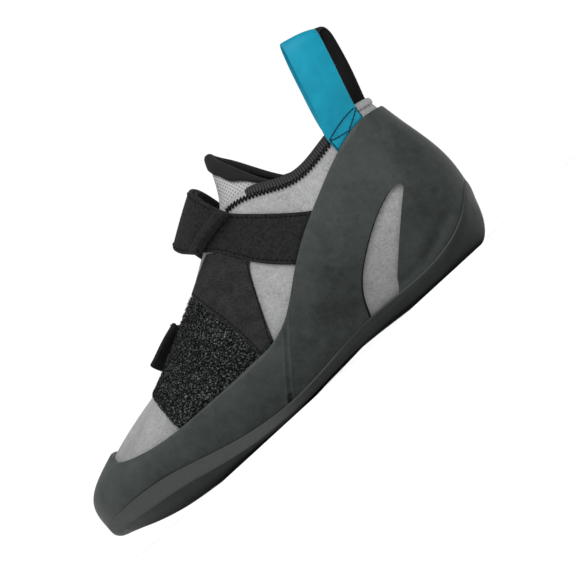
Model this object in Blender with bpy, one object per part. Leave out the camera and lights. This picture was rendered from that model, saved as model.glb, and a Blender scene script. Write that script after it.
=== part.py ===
# Climbing shoe, left foot: +X runs to the toe, +Y to the outer side of the foot, +Z up.
# All sizes below are in millimetres; meshes are written in metres.
from collections import namedtuple

import bmesh
import bpy
import numpy as np
from mathutils import Vector
from mathutils.bvhtree import BVHTree

MM = 0.001
GAP = 0.3
WALL = 1.8
RAND = 2.0
LIP = 0.8
OVERLAY = 1.0
PATCH = 1.8
BAND = 1.6
STRAP = 2.0
WEBBING = 1.3
TONGUE = 2.4
INSOLE = 2.2
SOLE_MIDDLE = 4.5

AROUND = 72
ROWS_UNDER_RAND = 6
ROWS_ABOVE_RAND = 5

# Walk round the shoe: each row is one line up its wall, from the feather edge (foot)
# over the fullest part (belly) and the turn inwards (shoulder) to the collar or throat (rim).
# rand is the part of that line under rubber, edge the height of the sole's side wall.
Meridian = namedtuple(
    "Meridian",
    "place foot_x foot_y foot_z belly_out belly_up shoulder_in shoulder_up"
    " rim_x rim_y rim_z rand edge",
)
MERIDIANS = [
    Meridian("heel_back", 1.5, 0, 27, 1.5, 14, .50, .72, 7.5, 0, 88, .90, 5),
    Meridian("heel_corner_lateral", 10, 18.5, 16, 2.5, 22, .50, .72, 14, 13, 89, .915, 5),
    Meridian("heel_lateral", 36, 28.5, 8, 2.5, 26, .50, .72, 34, 20.5, 87, .875, 5),
    Meridian("waist_rear_lateral", 68, 30.5, 9, 2.5, 26, .45, .75, 56, 21, 86, .695, 4),
    Meridian("waist_lateral", 98, 33.5, 7, 3.0, 24, .35, .72, 76, 19, 95.5, .347, 4),
    Meridian("ball_rear_lateral", 128, 38, 5, 3.0, 20, .32, .655, 98, 16.5, 97, .259, 4),
    Meridian("ball_lateral", 158, 42.5, 9, 2.5, 16, .35, .625, 124, 15, 84, .254, 6),
    Meridian("toes_lateral", 192, 39, 18, 2.5, 12, .36, .635, 148, 13, 70, .213, 8),
    Meridian("toe_corner_lateral", 229, 24, 22, 1.0, 10, .24, .54, 165, 9, 60.5, .30, 8),
    Meridian("toe_tip", 254, -6, 20, -1.5, 12, .23, .62, 171, 0, 58, .42, 6),
    Meridian("toe_corner_medial", 245, -29, 16, 0.0, 12, .28, .64, 167, -6, 60, .36, 6),
    Meridian("big_toe_joint", 217, -42, 9, 3.0, 14, .32, .675, 155, -11, 67.5, .278, 7),
    Meridian("ball_medial", 183, -46, 7, 3.0, 17, .35, .645, 136, -14, 79, .262, 6),
    Meridian("waist_front_medial", 145, -43, 6, 3.0, 22, .30, .70, 112, -16, 91, .285, 5),
    Meridian("waist_medial", 108, -37, 7, 3.0, 26, .30, .722, 86, -17.5, 97, .391, 5),
    Meridian("waist_rear_medial", 74, -31.5, 8, 3.0, 26, .40, .75, 60, -20.5, 87, .673, 4),
    Meridian("heel_medial", 38, -27.5, 8, 2.5, 26, .50, .72, 35, -20, 87, .875, 5),
    Meridian("heel_corner_medial", 10, -18.5, 18, 2.5, 20, .50, .72, 14, -13, 89, .915, 5),
]
PLACES = [m.place for m in MERIDIANS]
TOE_TIP = PLACES.index("toe_tip")

# Height of the sole's underside along its middle: level at heel and ball, arched between,
# sprung at the toe.
Keel = namedtuple("Keel", "place x z")
KEEL = [
    Keel("heel_end", 0, 0), Keel("heel_front", 58, 0), Keel("arch_rear", 78, 1.8),
    Keel("arch", 96, 2.6), Keel("arch_front", 114, 1.8), Keel("ball_rear", 134, 0),
    Keel("ball_front", 184, 0), Keel("toe_base", 206, 2.0), Keel("toe_pad", 228, 6.2),
    Keel("toe_end", 258, 14.5),
]
SOLE_CORE = 0.62
SOLE_SHELF = 0.86
SOLE_BOWL = (.70, .78)
SOLE_AXIS_X = (40, 182)
SOLE_AXIS_Y = -1.5

# Window in the heel rubber, as heights of its upper and lower edge along the shoe.
Window = namedtuple("Window", "x upper lower")
WINDOW = [
    Window(17.6, 47.4, 45.2), Window(21, 48.3, 41.4), Window(27, 47.2, 35.0),
    Window(37, 42.6, 25.0), Window(47.5, 36.0, 15.2), Window(52.5, 32.4, 2.0),
    Window(59, 27.2, 2.0), Window(65, 20.4, 2.0), Window(70.6, 10.0, 2.0),
]

# Seam between the front and heel rubber, on the shoe's long section.
Seam = namedtuple("Seam", "x z")
SEAM = (Seam(148.4, -20), Seam(15, 140))

# Panels laid on the instep: each row is one turn of angle round the foot (0 over the top,
# 90 out to the side), with the two ends of the panel along the shoe at that angle.
Course = namedtuple("Course", "angle front rear lift bow")
LEG = [
    Course(94, 122.4, 113.2, 0, 0), Course(67, 123.7, 106.6, 0, 0),
    Course(44.5, 128.6, 99.8, 0, 0), Course(40, 129.8, 98.7, 0, 0),
    Course(30, 132.0, 106.0, 0, 0), Course(19.5, 134.2, 115.8, 0, 0),
]
LOOP_PATCH = [
    Course(94, 176.0, 122.9, 0, 0), Course(70, 179.0, 124.1, 0, 0),
    Course(44, 183.0, 129.2, 0, 0), Course(24, 184.6, 133.8, 0, 0),
]
BASE_STRAP = [
    Course(60, 82.0, 80.0, 0, 0), Course(54, 87.0, 75.0, 0, 0), Course(41, 97.2, 60.5, 0, 0),
    Course(30, 104.6, 73.4, 0, 0), Course(20, 113.5, 90.0, .4, .5),
    Course(13, 120.5, 96.5, .8, 4.6), Course(5, 124.5, 99.5, 1.2, 11.5),
    Course(-5, 126.0, 100.5, 1.2, 11.5), Course(-14, 126.5, 101.0, .8, 5.5),
    Course(-23, 126.5, 101.0, .3, 1), Course(-38, 127.0, 101.5, 0, 0),
    Course(-55, 128.0, 102.5, 0, 0), Course(-70, 129.0, 103.5, 0, 0),
]
END_STRAP = [
    Course(15.5, 122.5, 96.0, 5.0, 5.0), Course(11, 124.0, 98.0, 3.8, 7.2),
    Course(5, 125.5, 99.3, 3.5, 11.5), Course(-5, 126.6, 100.3, 3.4, 11.5),
    Course(-14, 127.0, 100.9, 3.0, 5.5), Course(-23, 127.0, 101.0, 2.6, 1),
    Course(-40, 127.5, 101.9, 2.2, 0), Course(-50, 128.2, 102.6, 2.2, 0),
]
FRONT_STRAP = [
    Course(30, 173.0, 147.0, 6.4, 0), Course(24, 174.5, 148.8, 4.8, 0),
    Course(14, 176.0, 150.5, 3.2, 0), Course(4, 176.5, 151.0, 2.4, 0),
    Course(-8, 176.5, 151.5, 1.8, 0), Course(-20, 177.0, 152.0, 1.0, 0),
    Course(-34, 178.0, 153.0, .4, 0), Course(-55, 180.0, 155.0, .1, 0),
    Course(-76, 182.0, 157.0, .1, 0),
]
DRAPE_AXIS_Z = 35
DRAPE_REACH = 160
EDGE_CLEAR = 1.05

# Tongue: rows laid under the wall and throat, each reaching this angle down both sides, then
# two free rows above them, given by middle line, half way out, and edge.
Tuck = namedtuple("Tuck", "place x reach")
TUCKS = [
    Tuck("vamp_end", 177, 24), Tuck("front_strap", 160, 33), Tuck("instep", 141, 32),
    Tuck("upper_strap", 122, 30), Tuck("throat_top", 105, 27),
]
Flap = namedtuple("Flap", "place mid_x mid_z half_x half_y half_z edge_x edge_y edge_z")
FLAPS = [
    Flap("collar", 93, 107.5, 87, 11.5, 101, 75, 15.4, 86),
    Flap("tip", 85.5, 124, 79, 9.0, 113.5, 62, 15.2, 92),
]
TONGUE_CLEAR = 1.1
TONGUE_ACROSS = 12
TONGUE_ALONG = 14

# Pull loop: height up its lean and distance out from the collar wall.
Bend = namedtuple("Bend", "rise out")
BENDS = [
    Bend(10, 4.4), Bend(24, 5.2), Bend(36, 4.9), Bend(43.2, 3.4), Bend(46, .6),
    Bend(46.2, -1.6), Bend(44, -4.2), Bend(36, -5.9), Bend(24, -6.0), Bend(10, -5.2),
]
LOOP_LEAN = np.array([-.30, 0, .954])
LOOP_DROP = 3.6
LOOP_STATIONS = 5

COLLECTION = "climbing_shoe"
CUTTERS = "climbing_shoe_cutters"
COLOURS = {
    "rubber": (.035, .04, .04), "suede": (.36, .36, .36), "microfibre": (.022, .022, .022),
    "pile": (.012, .012, .012), "webbing_blue": (.01, .32, .48), "webbing_black": (.015, .015, .015),
    "knit": (.02, .02, .02), "footbed": (.12, .12, .12), "sole_rubber": (.028, .03, .03),
}


def column(*names):
    return np.array([[getattr(m, n) for n in names] for m in MERIDIANS], float)


FOOT = column("foot_x", "foot_y", "foot_z")
RIM = column("rim_x", "rim_y", "rim_z")


def plan_outward(loop):
    along = np.roll(loop, -1, 0) - np.roll(loop, 1, 0)
    side = np.stack([along[:, 1], -along[:, 0], 0 * along[:, 0]], 1)
    side /= np.linalg.norm(side, axis=1)[:, None]
    return side * np.sign(((loop - loop.mean(0)) * side).sum())


UPWARD = np.array([0, 0, 1.0])
BELLY = FOOT + plan_outward(FOOT) * column("belly_out") + column("belly_up") * UPWARD
LEVEL = np.array([1.0, 1.0, 0])
SHOULDER = (
    FOOT
    + (RIM - FOOT) * LEVEL * column("shoulder_in")
    + (RIM - FOOT) * UPWARD * column("shoulder_up")
)
STEPS = np.linalg.norm(np.roll(BELLY, -1, 0) - BELLY, axis=1)
KNOTS = np.append(0, np.cumsum(STEPS))[:-1] / STEPS.sum()


def loop_curve(values, at):
    """Closed cubic through one value per meridian."""
    count = len(KNOTS)
    knots = np.append(KNOTS, 1.0)
    v = np.vstack([values, values[:1]])
    span = np.diff(knots)
    slope = np.diff(v, axis=0) / span[:, None]
    system = np.zeros((count, count))
    target = np.zeros((count, v.shape[1]))
    for i in range(count):
        system[i, i - 1] += span[i - 1]
        system[i, i] += 2 * (span[i - 1] + span[i])
        system[i, (i + 1) % count] += span[i]
        target[i] = 6 * (slope[i] - slope[i - 1])
    bend = np.linalg.solve(system, target)
    bend = np.vstack([bend, bend[:1]])
    at = np.mod(at, 1.0)
    i = np.clip(np.searchsorted(knots, at, side="right") - 1, 0, count - 1)
    d = (at - knots[i])[:, None]
    h = span[i][:, None]
    first = slope[i] - h * (2 * bend[i] + bend[i + 1]) / 6
    return v[i] + d * first + d * d * bend[i] / 2 + d ** 3 * (bend[i + 1] - bend[i]) / (6 * h)


def wall_point(u, t):
    """Point at loop position u and height t (0 feather edge, 1 rim) on the bare wall."""
    p = np.stack([loop_curve(c, u) for c in (FOOT, BELLY, SHOULDER, RIM)], 1)
    chord = np.linalg.norm(np.diff(p, axis=1), axis=2)
    k = np.concatenate([np.zeros((len(u), 1)), np.cumsum(chord, 1)], 1)
    k /= k[:, -1:]
    h = np.diff(k, axis=1)
    s = np.diff(p, axis=1) / h[:, :, None]
    a = 2 * (h[:, 0] + h[:, 1])
    b = h[:, 1]
    c = 2 * (h[:, 1] + h[:, 2])
    det = (a * c - b * b)[:, None]
    r1 = 6 * (s[:, 1] - s[:, 0])
    r2 = 6 * (s[:, 2] - s[:, 1])
    m1 = (r1 * c[:, None] - r2 * b[:, None]) / det
    m2 = (r2 * a[:, None] - r1 * b[:, None]) / det
    m = np.stack([0 * m1, m1, m2, 0 * m2], 1)
    row = np.arange(len(u))
    i = (t > k[:, 1]).astype(int) + (t > k[:, 2]).astype(int)
    d = (t - k[row, i])[:, None]
    hh = h[row, i][:, None]
    first = s[row, i] - hh * (2 * m[row, i] + m[row, i + 1]) / 6
    return p[row, i] + d * first + d * d * m[row, i] / 2 + d ** 3 * (m[row, i + 1] - m[row, i]) / (6 * hh)


def skin(u, t, lift=0.0):
    """Wall moved out along its own normal; level at the feather edge, where it stands on the sole."""
    shape = np.broadcast(u, t).shape
    u = np.broadcast_to(u, shape).ravel().astype(float)
    t = np.broadcast_to(t, shape).ravel().astype(float)
    e = 0.001
    along = wall_point(u + e, t) - wall_point(u - e, t)
    up = wall_point(u, np.minimum(t + e, 1)) - wall_point(u, np.maximum(t - e, 0))
    normal = np.cross(up, along)
    normal[:, 2] *= np.clip(t / 0.08, 0, 1)
    normal /= np.linalg.norm(normal, axis=1)[:, None]
    lift = np.broadcast_to(lift, shape).ravel()[:, None]
    return (wall_point(u, t) + normal * lift).reshape(shape + (3,))


def at_row(row):
    """Loop position of a row number; 4.5 is half way from row 4 to row 5."""
    numbers = np.arange(-len(KNOTS), 2 * len(KNOTS))
    knots = np.concatenate([KNOTS - 1, KNOTS, KNOTS + 1])
    return np.interp(row, numbers, knots)


def rand_height(u):
    return loop_curve(column("rand"), np.ravel(u))[:, 0].reshape(np.shape(u))


def side_height(u):
    return loop_curve(column("edge"), np.ravel(u))[:, 0].reshape(np.shape(u))


def new_object(name, mesh, colour):
    obj = bpy.data.objects.new(name, mesh)
    bpy.data.collections[COLLECTION].objects.link(obj)
    material = bpy.data.materials.new(name + "_" + colour)
    material.use_nodes = True
    shader = material.node_tree.nodes["Principled BSDF"]
    shader.inputs["Base Color"].default_value = COLOURS[colour] + (1,)
    shader.inputs["Roughness"].default_value = 0.75
    mesh.materials.append(material)
    return obj


def finish_mesh(bm, name):
    bmesh.ops.recalc_face_normals(bm, faces=bm.faces)
    bmesh.ops.triangulate(bm, faces=bm.faces, quad_method="SHORT_EDGE")
    mesh = bpy.data.meshes.new(name)
    bm.to_mesh(mesh)
    bm.free()
    return mesh


def slab(name, colour, inner, outer, wrap=False):
    """Closed body between two sheets of points; wrap joins the last row to the first."""
    rows, cols = inner.shape[:2]
    bm = bmesh.new()
    low = [[bm.verts.new(p * MM) for p in line] for line in inner]
    high = [[bm.verts.new(p * MM) for p in line] for line in outer]
    for i in range(rows if wrap else rows - 1):
        k = (i + 1) % rows
        for j in range(cols - 1):
            bm.faces.new((high[i][j], high[k][j], high[k][j + 1], high[i][j + 1]))
            bm.faces.new((low[i][j + 1], low[k][j + 1], low[k][j], low[i][j]))
        for j in (0, cols - 1):
            bm.faces.new((low[i][j], low[k][j], high[k][j], high[i][j]))
    if not wrap:
        for i in (0, rows - 1):
            for j in range(cols - 1):
                bm.faces.new((low[i][j], low[i][j + 1], high[i][j + 1], high[i][j]))
    return new_object(name, finish_mesh(bm, name), colour)


def ring_body(name, colour, rings):
    """Closed body from a stack of rings, its first and last ring closed across the shoe."""
    bm = bmesh.new()
    loops = [[bm.verts.new(p * MM) for p in ring] for ring in rings]
    count = len(loops[0])
    for a, b in zip(loops, loops[1:]):
        for i in range(count):
            k = (i + 1) % count
            bm.faces.new((a[i], a[k], b[k], b[i]))
    for loop in (loops[0], loops[-1]):
        bm.faces.new((loop[0], loop[1], loop[-1]))
        for i in range(1, count // 2 - 1):
            bm.faces.new((loop[i], loop[i + 1], loop[-i - 1], loop[-i]))
        half = count // 2
        bm.faces.new((loop[half - 1], loop[half], loop[half + 1]))
    return new_object(name, finish_mesh(bm, name), colour)


def stations():
    """Loop positions, closer where the outline turns; heel's back first, toe's tip half way."""
    fine = np.linspace(0, 1, 721)
    p = loop_curve(BELLY, fine)[:, :2]
    step = np.diff(p, axis=0)
    heading = np.unwrap(np.arctan2(step[:, 1], step[:, 0]))
    turn = np.abs(np.gradient(heading)) / (2 * np.pi)
    weight = np.linalg.norm(step, axis=1) / np.linalg.norm(step, axis=1).sum() + turn
    measure = np.append(0, np.cumsum(weight))
    toe = np.interp(KNOTS[TOE_TIP], fine, measure)
    half = AROUND // 2
    lateral = np.linspace(0, toe, half + 1)[:-1]
    medial = np.linspace(toe, measure[-1], half + 1)[:-1]
    return np.interp(np.concatenate([lateral, medial]), measure, fine)


U = stations()


def wall_rows():
    """Heights of the wall's points at every station: one run under the rubber, one above it."""
    top = rand_height(U)[:, None]
    under = top * np.linspace(0, 1, ROWS_UNDER_RAND + 1)[None, :]
    above = top + (1 - top) * np.linspace(0, 1, ROWS_ABOVE_RAND + 1)[None, 1:]
    return under, above


def keel(x):
    xs = np.array([k.x for k in KEEL], float)
    zs = np.array([k.z for k in KEEL], float)
    fine = np.linspace(xs[0], xs[-1], 261)
    z = np.interp(fine, xs, zs)
    level = np.interp(fine, xs, zs) == 0
    smooth = z
    for _ in range(30):
        smooth = np.convolve(np.pad(smooth, 2, mode="edge"), np.full(5, .2), mode="valid")
        smooth[level] = 0
    return np.interp(x, fine, smooth)


def sole_plan(r):
    """Outline of the sole drawn in: its shelf under the wall first, then towards its middle."""
    edge = skin(U, 0 * U, GAP + RAND + LIP)[:, :2]
    shelf = skin(U, 0 * U, -WALL - 1.0)[:, :2]
    if r >= SOLE_SHELF:
        return shelf + (edge - shelf) * (r - SOLE_SHELF) / (1 - SOLE_SHELF)
    centre = np.stack([np.clip(edge[:, 0], *SOLE_AXIS_X), np.full(len(U), SOLE_AXIS_Y)], 1)
    return centre + (shelf - centre) * r / SOLE_SHELF


def with_height(plan, z):
    return np.concatenate([plan, z[:, None]], 1)


def under_sole(r):
    plan = sole_plan(r)
    middle = keel(plan[:, 0])
    low = loop_curve(FOOT, U)[:, 2] - GAP - side_height(U)
    part = ((r - SOLE_CORE) / (1 - SOLE_CORE)) ** 2
    return with_height(plan, middle + (low - middle) * part)


def over_sole(r, above=0.0):
    plan = sole_plan(r)
    middle = keel(plan[:, 0]) + SOLE_MIDDLE
    shelf = loop_curve(FOOT, U)[:, 2] - GAP
    part = np.clip((r - SOLE_CORE) / (SOLE_SHELF - SOLE_CORE), 0, 1) ** 1.5
    return with_height(plan, middle + (shelf - middle) * part + above)


def make_outsole():
    rings = [under_sole(r) for r in (SOLE_CORE, .72, .82, .91, .975)]
    corner = under_sole(1.0)
    corner[:, 2] += 0.9
    rings += [corner, over_sole(1.0)]
    rings += [over_sole(r) for r in (SOLE_SHELF,) + SOLE_BOWL[::-1] + (SOLE_CORE,)]
    return ring_body("outsole", "sole_rubber", rings)


def make_insole():
    reach = (SOLE_CORE,) + SOLE_BOWL
    rings = [over_sole(r, GAP) for r in reach]
    rings += [over_sole(r, GAP + INSOLE) for r in reversed(reach)]
    return ring_body("insole", "footbed", rings)


def make_upper():
    under, above = wall_rows()
    t = np.concatenate([under, above], 1)
    u = U[:, None]
    return slab("upper", "suede", skin(u, t, -WALL), skin(u, t, 0), wrap=True)


def rand_ring(name):
    """Rubber strip right round the shoe, on the wall's own points."""
    t = wall_rows()[0]
    u = U[:, None]
    return slab(name, "rubber", skin(u, t, GAP), skin(u, t, GAP + RAND), wrap=True)


def prism(name, outline, y_from, y_to):
    """Cutter drawn on the shoe's long section and run across it."""
    bm = bmesh.new()
    face = bm.faces.new([bm.verts.new((x * MM, y_from * MM, z * MM)) for x, z in outline])
    grown = bmesh.ops.extrude_face_region(bm, geom=[face])
    verts = [g for g in grown["geom"] if isinstance(g, bmesh.types.BMVert)]
    bmesh.ops.translate(bm, verts=verts, vec=(0, (y_to - y_from) * MM, 0))
    bmesh.ops.recalc_face_normals(bm, faces=bm.faces)
    mesh = bpy.data.meshes.new(name)
    bm.to_mesh(mesh)
    bm.free()
    cutter = bpy.data.objects.new(name, mesh)
    bpy.data.collections[CUTTERS].objects.link(cutter)
    cutter.hide_render = True
    cutter.display_type = "WIRE"
    return cutter


def cut(obj, cutter):
    modifier = obj.modifiers.new("cut_" + cutter.name, "BOOLEAN")
    modifier.operation = "DIFFERENCE"
    modifier.solver = "EXACT"
    modifier.object = cutter


def make_rands():
    """One ring of rubber parted at a slanted seam, its heel piece opened by a window each side."""
    front = rand_ring("rand_front")
    rear = rand_ring("rand_heel")
    low, high = SEAM
    for obj, side, end in ((front, -1, -40), (rear, 1, 300)):
        slide = side * GAP / 2
        outline = [
            (low.x - slide, low.z), (high.x - slide, high.z), (end, high.z), (end, low.z),
        ]
        cut(obj, prism("seam_" + obj.name, outline, -90, 90))
    window = [(w.x, w.upper) for w in WINDOW] + [(w.x, w.lower) for w in reversed(WINDOW)]
    cut(rear, prism("window_lateral", window, 18, 48))
    cut(rear, prism("window_medial", window, -18, -48))


def rim_at_x(x, rows):
    """Loop position on one side of the shoe where the rim has this x."""
    u = at_row(np.linspace(rows[0], rows[1], 200))
    xs = skin(u, np.ones_like(u))[:, 0]
    order = np.argsort(xs)
    return np.interp(x, xs[order], u[order])


def bridge(x, part):
    """Crowned span over the throat at this x, from lateral rim (0) to medial rim (1)."""
    ul = rim_at_x(x, (3, TOE_TIP))
    um = rim_at_x(x, (TOE_TIP, 15.4))
    one = np.ones_like(x)
    p0 = skin(ul, one)
    p1 = skin(um, one)
    d0 = p0 - skin(ul, one * .97)
    d1 = p1 - skin(um, one * .97)
    width = np.linalg.norm(p1 - p0, axis=1)[:, None]
    c0 = p0 + d0 / np.linalg.norm(d0, axis=1)[:, None] * width * .3
    c1 = p1 + d1 / np.linalg.norm(d1, axis=1)[:, None] * width * .3
    f = part
    q = 1 - f
    return p0 * q ** 3 + c0 * 3 * q * q * f + c1 * 3 * q * f * f + p1 * f ** 3


def drape_tree():
    """Bare wall with its throat bridged, to lay panels and straps on."""
    n, m = 180, 26
    u = np.linspace(0, 1, n, endpoint=False)
    wall = skin(u[:, None], np.linspace(0, 1, m)[None, :])
    points = [Vector(p) for p in wall.reshape(-1, 3)]
    faces = []
    for i in range(n):
        k = (i + 1) % n
        for j in range(m - 1):
            faces.append((i * m + j, k * m + j, k * m + j + 1, i * m + j + 1))
    vamp = skin(at_row(np.linspace(8, 10, 200)), np.ones(200))[:, 0].max()
    x = np.linspace(60, vamp - .01, 60)
    spans = np.stack([bridge(x, f) for f in np.linspace(0, 1, 13)], 1)
    base = len(points)
    points += [Vector(p) for p in spans.reshape(-1, 3)]
    for i in range(len(x) - 1):
        for j in range(12):
            a = base + i * 13 + j
            faces.append((a, a + 13, a + 14, a + 1))
    return BVHTree.FromPolygons(points, faces)


def drape(tree, x, angle, lift, bow):
    """Point over the foot at this x and angle, lifted off the wall and bowed from the foot's axis."""
    a = np.radians(angle)
    ray = Vector((0, np.sin(a), np.cos(a)))
    hit = None
    for aside in (0, -.5, .5, -1, 1):
        if hit is None:
            axis = Vector((x + aside, 0, DRAPE_AXIS_Z))
            hit, normal, _, _ = tree.ray_cast(axis + ray * DRAPE_REACH, -ray)
    if normal.dot(ray) < 0:
        normal = -normal
    return np.array(hit + normal * lift + ray * bow)


def rand_limit(rows):
    """Rubber's top edge on one side, as pairs of x and angle."""
    u = at_row(np.linspace(rows[0], rows[1], 120))
    p = skin(np.mod(u, 1.0), rand_height(np.mod(u, 1.0)), GAP + RAND / 2)
    angle = np.degrees(np.arctan2(p[:, 1], p[:, 2] - DRAPE_AXIS_Z))
    order = np.argsort(p[:, 0])
    return p[order, 0], angle[order]


LATERAL_ROWS = (1.2, 8)
MEDIAL_ROWS = (10.5, 16.5)


def curve_rows(values, at):
    """Open cubic through evenly spaced rows of points."""
    n = len(values)
    system = np.eye(n)
    target = np.zeros_like(values)
    for i in range(1, n - 1):
        system[i, i - 1:i + 2] = (1, 4, 1)
        target[i] = 6 * (values[i + 1] - 2 * values[i] + values[i - 1])
    bend = np.linalg.solve(system, target)
    i = np.clip(at.astype(int), 0, n - 2)
    d = (at - i)[:, None]
    first = values[i + 1] - values[i] - (2 * bend[i] + bend[i + 1]) / 6
    return values[i] + d * first + d * d * bend[i] / 2 + d ** 3 * (bend[i + 1] - bend[i]) / 6


def panel(name, colour, tree, courses, thick, across, fine=1):
    """Sheet laid over the foot through its courses, kept clear above the rubber's top edge."""
    steps = np.linspace(0, len(courses) - 1, (len(courses) - 1) * fine + 1)
    laid = curve_rows(np.array(courses, float), steps)
    lateral = rand_limit(LATERAL_ROWS)
    medial = rand_limit(MEDIAL_ROWS)
    low = np.zeros((len(steps), across + 1, 3))
    high = low.copy()
    for i, (turn, front, rear, lift, bow) in enumerate(laid):
        for j in range(across + 1):
            x = front + (rear - front) * j / across
            angle = turn
            if angle > 0:
                angle = min(angle, np.interp(x, *lateral) - EDGE_CLEAR)
            else:
                angle = max(angle, np.interp(x, *medial) + EDGE_CLEAR)
            low[i, j] = drape(tree, x, angle, GAP + lift, bow)
            high[i, j] = drape(tree, x, angle, GAP + lift + thick, bow)
    return slab(name, colour, low, high)


def make_tongue(tree):
    """Sheet tucked under the throat's edges that rises free above the collar."""
    part = np.linspace(1, -1, TONGUE_ACROSS + 1)
    rows = []
    for tuck in TUCKS:
        rows.append([drape(tree, tuck.x, tuck.reach * p, -WALL - TONGUE_CLEAR, 0) for p in part])
    for f in FLAPS:
        line = np.array([
            (f.edge_x, f.edge_y, f.edge_z), (f.half_x, f.half_y, f.half_z), (f.mid_x, 0, f.mid_z),
            (f.half_x, -f.half_y, f.half_z), (f.edge_x, -f.edge_y, f.edge_z),
        ], float)
        rows.append(curve_rows(line, (1 - part) * 2))
    rows = np.array(rows)
    along = np.linspace(0, len(rows) - 1, TONGUE_ALONG)
    front = curve_rows(rows.reshape(len(rows), -1), along).reshape(len(along), -1, 3)
    normal = np.cross(np.gradient(front, axis=1), np.gradient(front, axis=0))
    normal /= np.linalg.norm(normal, axis=2)[:, :, None]
    normal *= np.sign(normal[3, TONGUE_ACROSS // 2, 2])
    return slab("tongue", "microfibre", front - normal * TONGUE, front)


def make_binding():
    """Roll round the collar: a flange outside the wall and a cap over it."""
    u = at_row(np.linspace(3.85, 14.35 - len(KNOTS), 37))
    u = np.mod(u, 1.0)
    one = np.ones_like(u)
    drop = one * (1 - .030)
    lift = {"out": GAP + 1.0, "in": -WALL - GAP - 1.0}
    up = np.array([0, 0, 1.0])
    outer_low = skin(u, drop, lift["out"])
    inner_low = skin(u, drop, GAP)
    under_out = skin(u, one, GAP) + up * 2 * GAP
    under_in = skin(u, one, lift["in"]) + up * 2 * GAP
    side_in = skin(u, one, lift["in"]) + up * 2.0
    top_in = skin(u, one, -WALL) + up * 3.2
    top_out = skin(u, one, -.2) + up * 3.2
    side_out = skin(u, one, lift["out"]) + up * 2.0
    outer_one = skin(u, one, lift["out"]) + up * 2 * GAP
    sections = np.stack(
        [outer_low, outer_one, side_out, top_out, top_in, side_in, under_in, under_out, inner_low], 1
    )
    bm = bmesh.new()
    lines = [[bm.verts.new(p * MM) for p in section] for section in sections]
    count = sections.shape[1]
    for a, b in zip(lines, lines[1:]):
        for i in range(count):
            k = (i + 1) % count
            bm.faces.new((a[i], a[k], b[k], b[i]))
    for line in (lines[0], lines[-1]):
        bm.faces.new((line[0], line[1], line[7], line[8]))
        bm.faces.new((line[1], line[2], line[5], line[6], line[7]))
        bm.faces.new((line[2], line[3], line[4], line[5]))
    return new_object("collar_binding", finish_mesh(bm, "collar_binding"), "knit")


def make_pull_loop(name, colour, first_row, last_row):
    """Webbing folded over the collar: up outside, over, and down inside."""
    middle = np.mod(at_row(np.array([(first_row + last_row) / 2])), 1.0)
    out = (skin(middle, np.ones(1), 1.0) - skin(middle, np.ones(1)))[0]
    out[2] = 0
    out /= np.linalg.norm(out)
    lean = LOOP_LEAN - out * (LOOP_LEAN * out).sum()
    path = []
    for w in np.linspace(-1, 1, LOOP_STATIONS):
        row = first_row + (last_row - first_row) * (w + 1) / 2
        u = np.mod(at_row(np.array([row])), 1.0)
        one = np.ones(1)
        base = skin(u, one)[0]
        grip = GAP + RAND + GAP
        line = [skin(u, one * t, grip + more)[0] for t, more in ((.86, .1), (.93, .1), (1.0, .3))]
        scale = 1 - w * LOOP_DROP / BENDS[4].rise
        line += [base + lean * b.rise * scale + out * b.out for b in BENDS]
        line += [skin(u, one * t, -WALL - GAP - 1.9)[0] for t in (1.0, .955)]
        path.append(np.array(line))
    path = np.stack(path)
    normal = np.cross(np.gradient(path, axis=0), np.gradient(path, axis=1))
    normal /= np.linalg.norm(normal, axis=2)[:, :, None]
    heart = path[:, 4:10].mean(axis=(0, 1))
    normal *= np.sign(((path[2, 4] - heart) * normal[2, 4]).sum())
    return slab(name, colour, path, path + normal * WEBBING)


def clear_scene():
    for obj in list(bpy.data.objects):
        bpy.data.objects.remove(obj, do_unlink=True)
    for name in (COLLECTION, CUTTERS):
        collection = bpy.data.collections.new(name)
        bpy.context.scene.collection.children.link(collection)


def centre_on_floor():
    """Put the middle of the shoe's box over the origin, its lowest point on the floor."""
    parts = bpy.data.collections[COLLECTION].objects
    points = np.array([v.co[:] for o in parts for v in o.data.vertices])
    low, high = points.min(0), points.max(0)
    shift = Vector((-(low[0] + high[0]) / 2, -(low[1] + high[1]) / 2, -low[2]))
    for obj in list(parts) + list(bpy.data.collections[CUTTERS].objects):
        for vertex in obj.data.vertices:
            vertex.co += shift
    print("shift", [round(s, 6) for s in shift], "size", [round(s, 5) for s in high - low])


def main():
    clear_scene()
    make_outsole()
    make_insole()
    make_upper()
    make_rands()
    tree = drape_tree()
    make_tongue(tree)
    panel("instep_panel", "microfibre", tree, LEG, OVERLAY, 5, 2)
    panel("loop_patch", "pile", tree, LOOP_PATCH, PATCH, 8, 2)
    panel("strap_upper_base", "microfibre", tree, BASE_STRAP, BAND, 4, 2)
    panel("strap_upper", "microfibre", tree, END_STRAP, STRAP, 4, 2)
    panel("strap_front", "microfibre", tree, FRONT_STRAP, STRAP, 4, 2)
    make_binding()
    make_pull_loop("pull_loop_lateral", "webbing_blue", 1.85, .92)
    make_pull_loop("pull_loop_medial", "webbing_black", 16.15, 17.08)
    centre_on_floor()


main()
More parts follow.
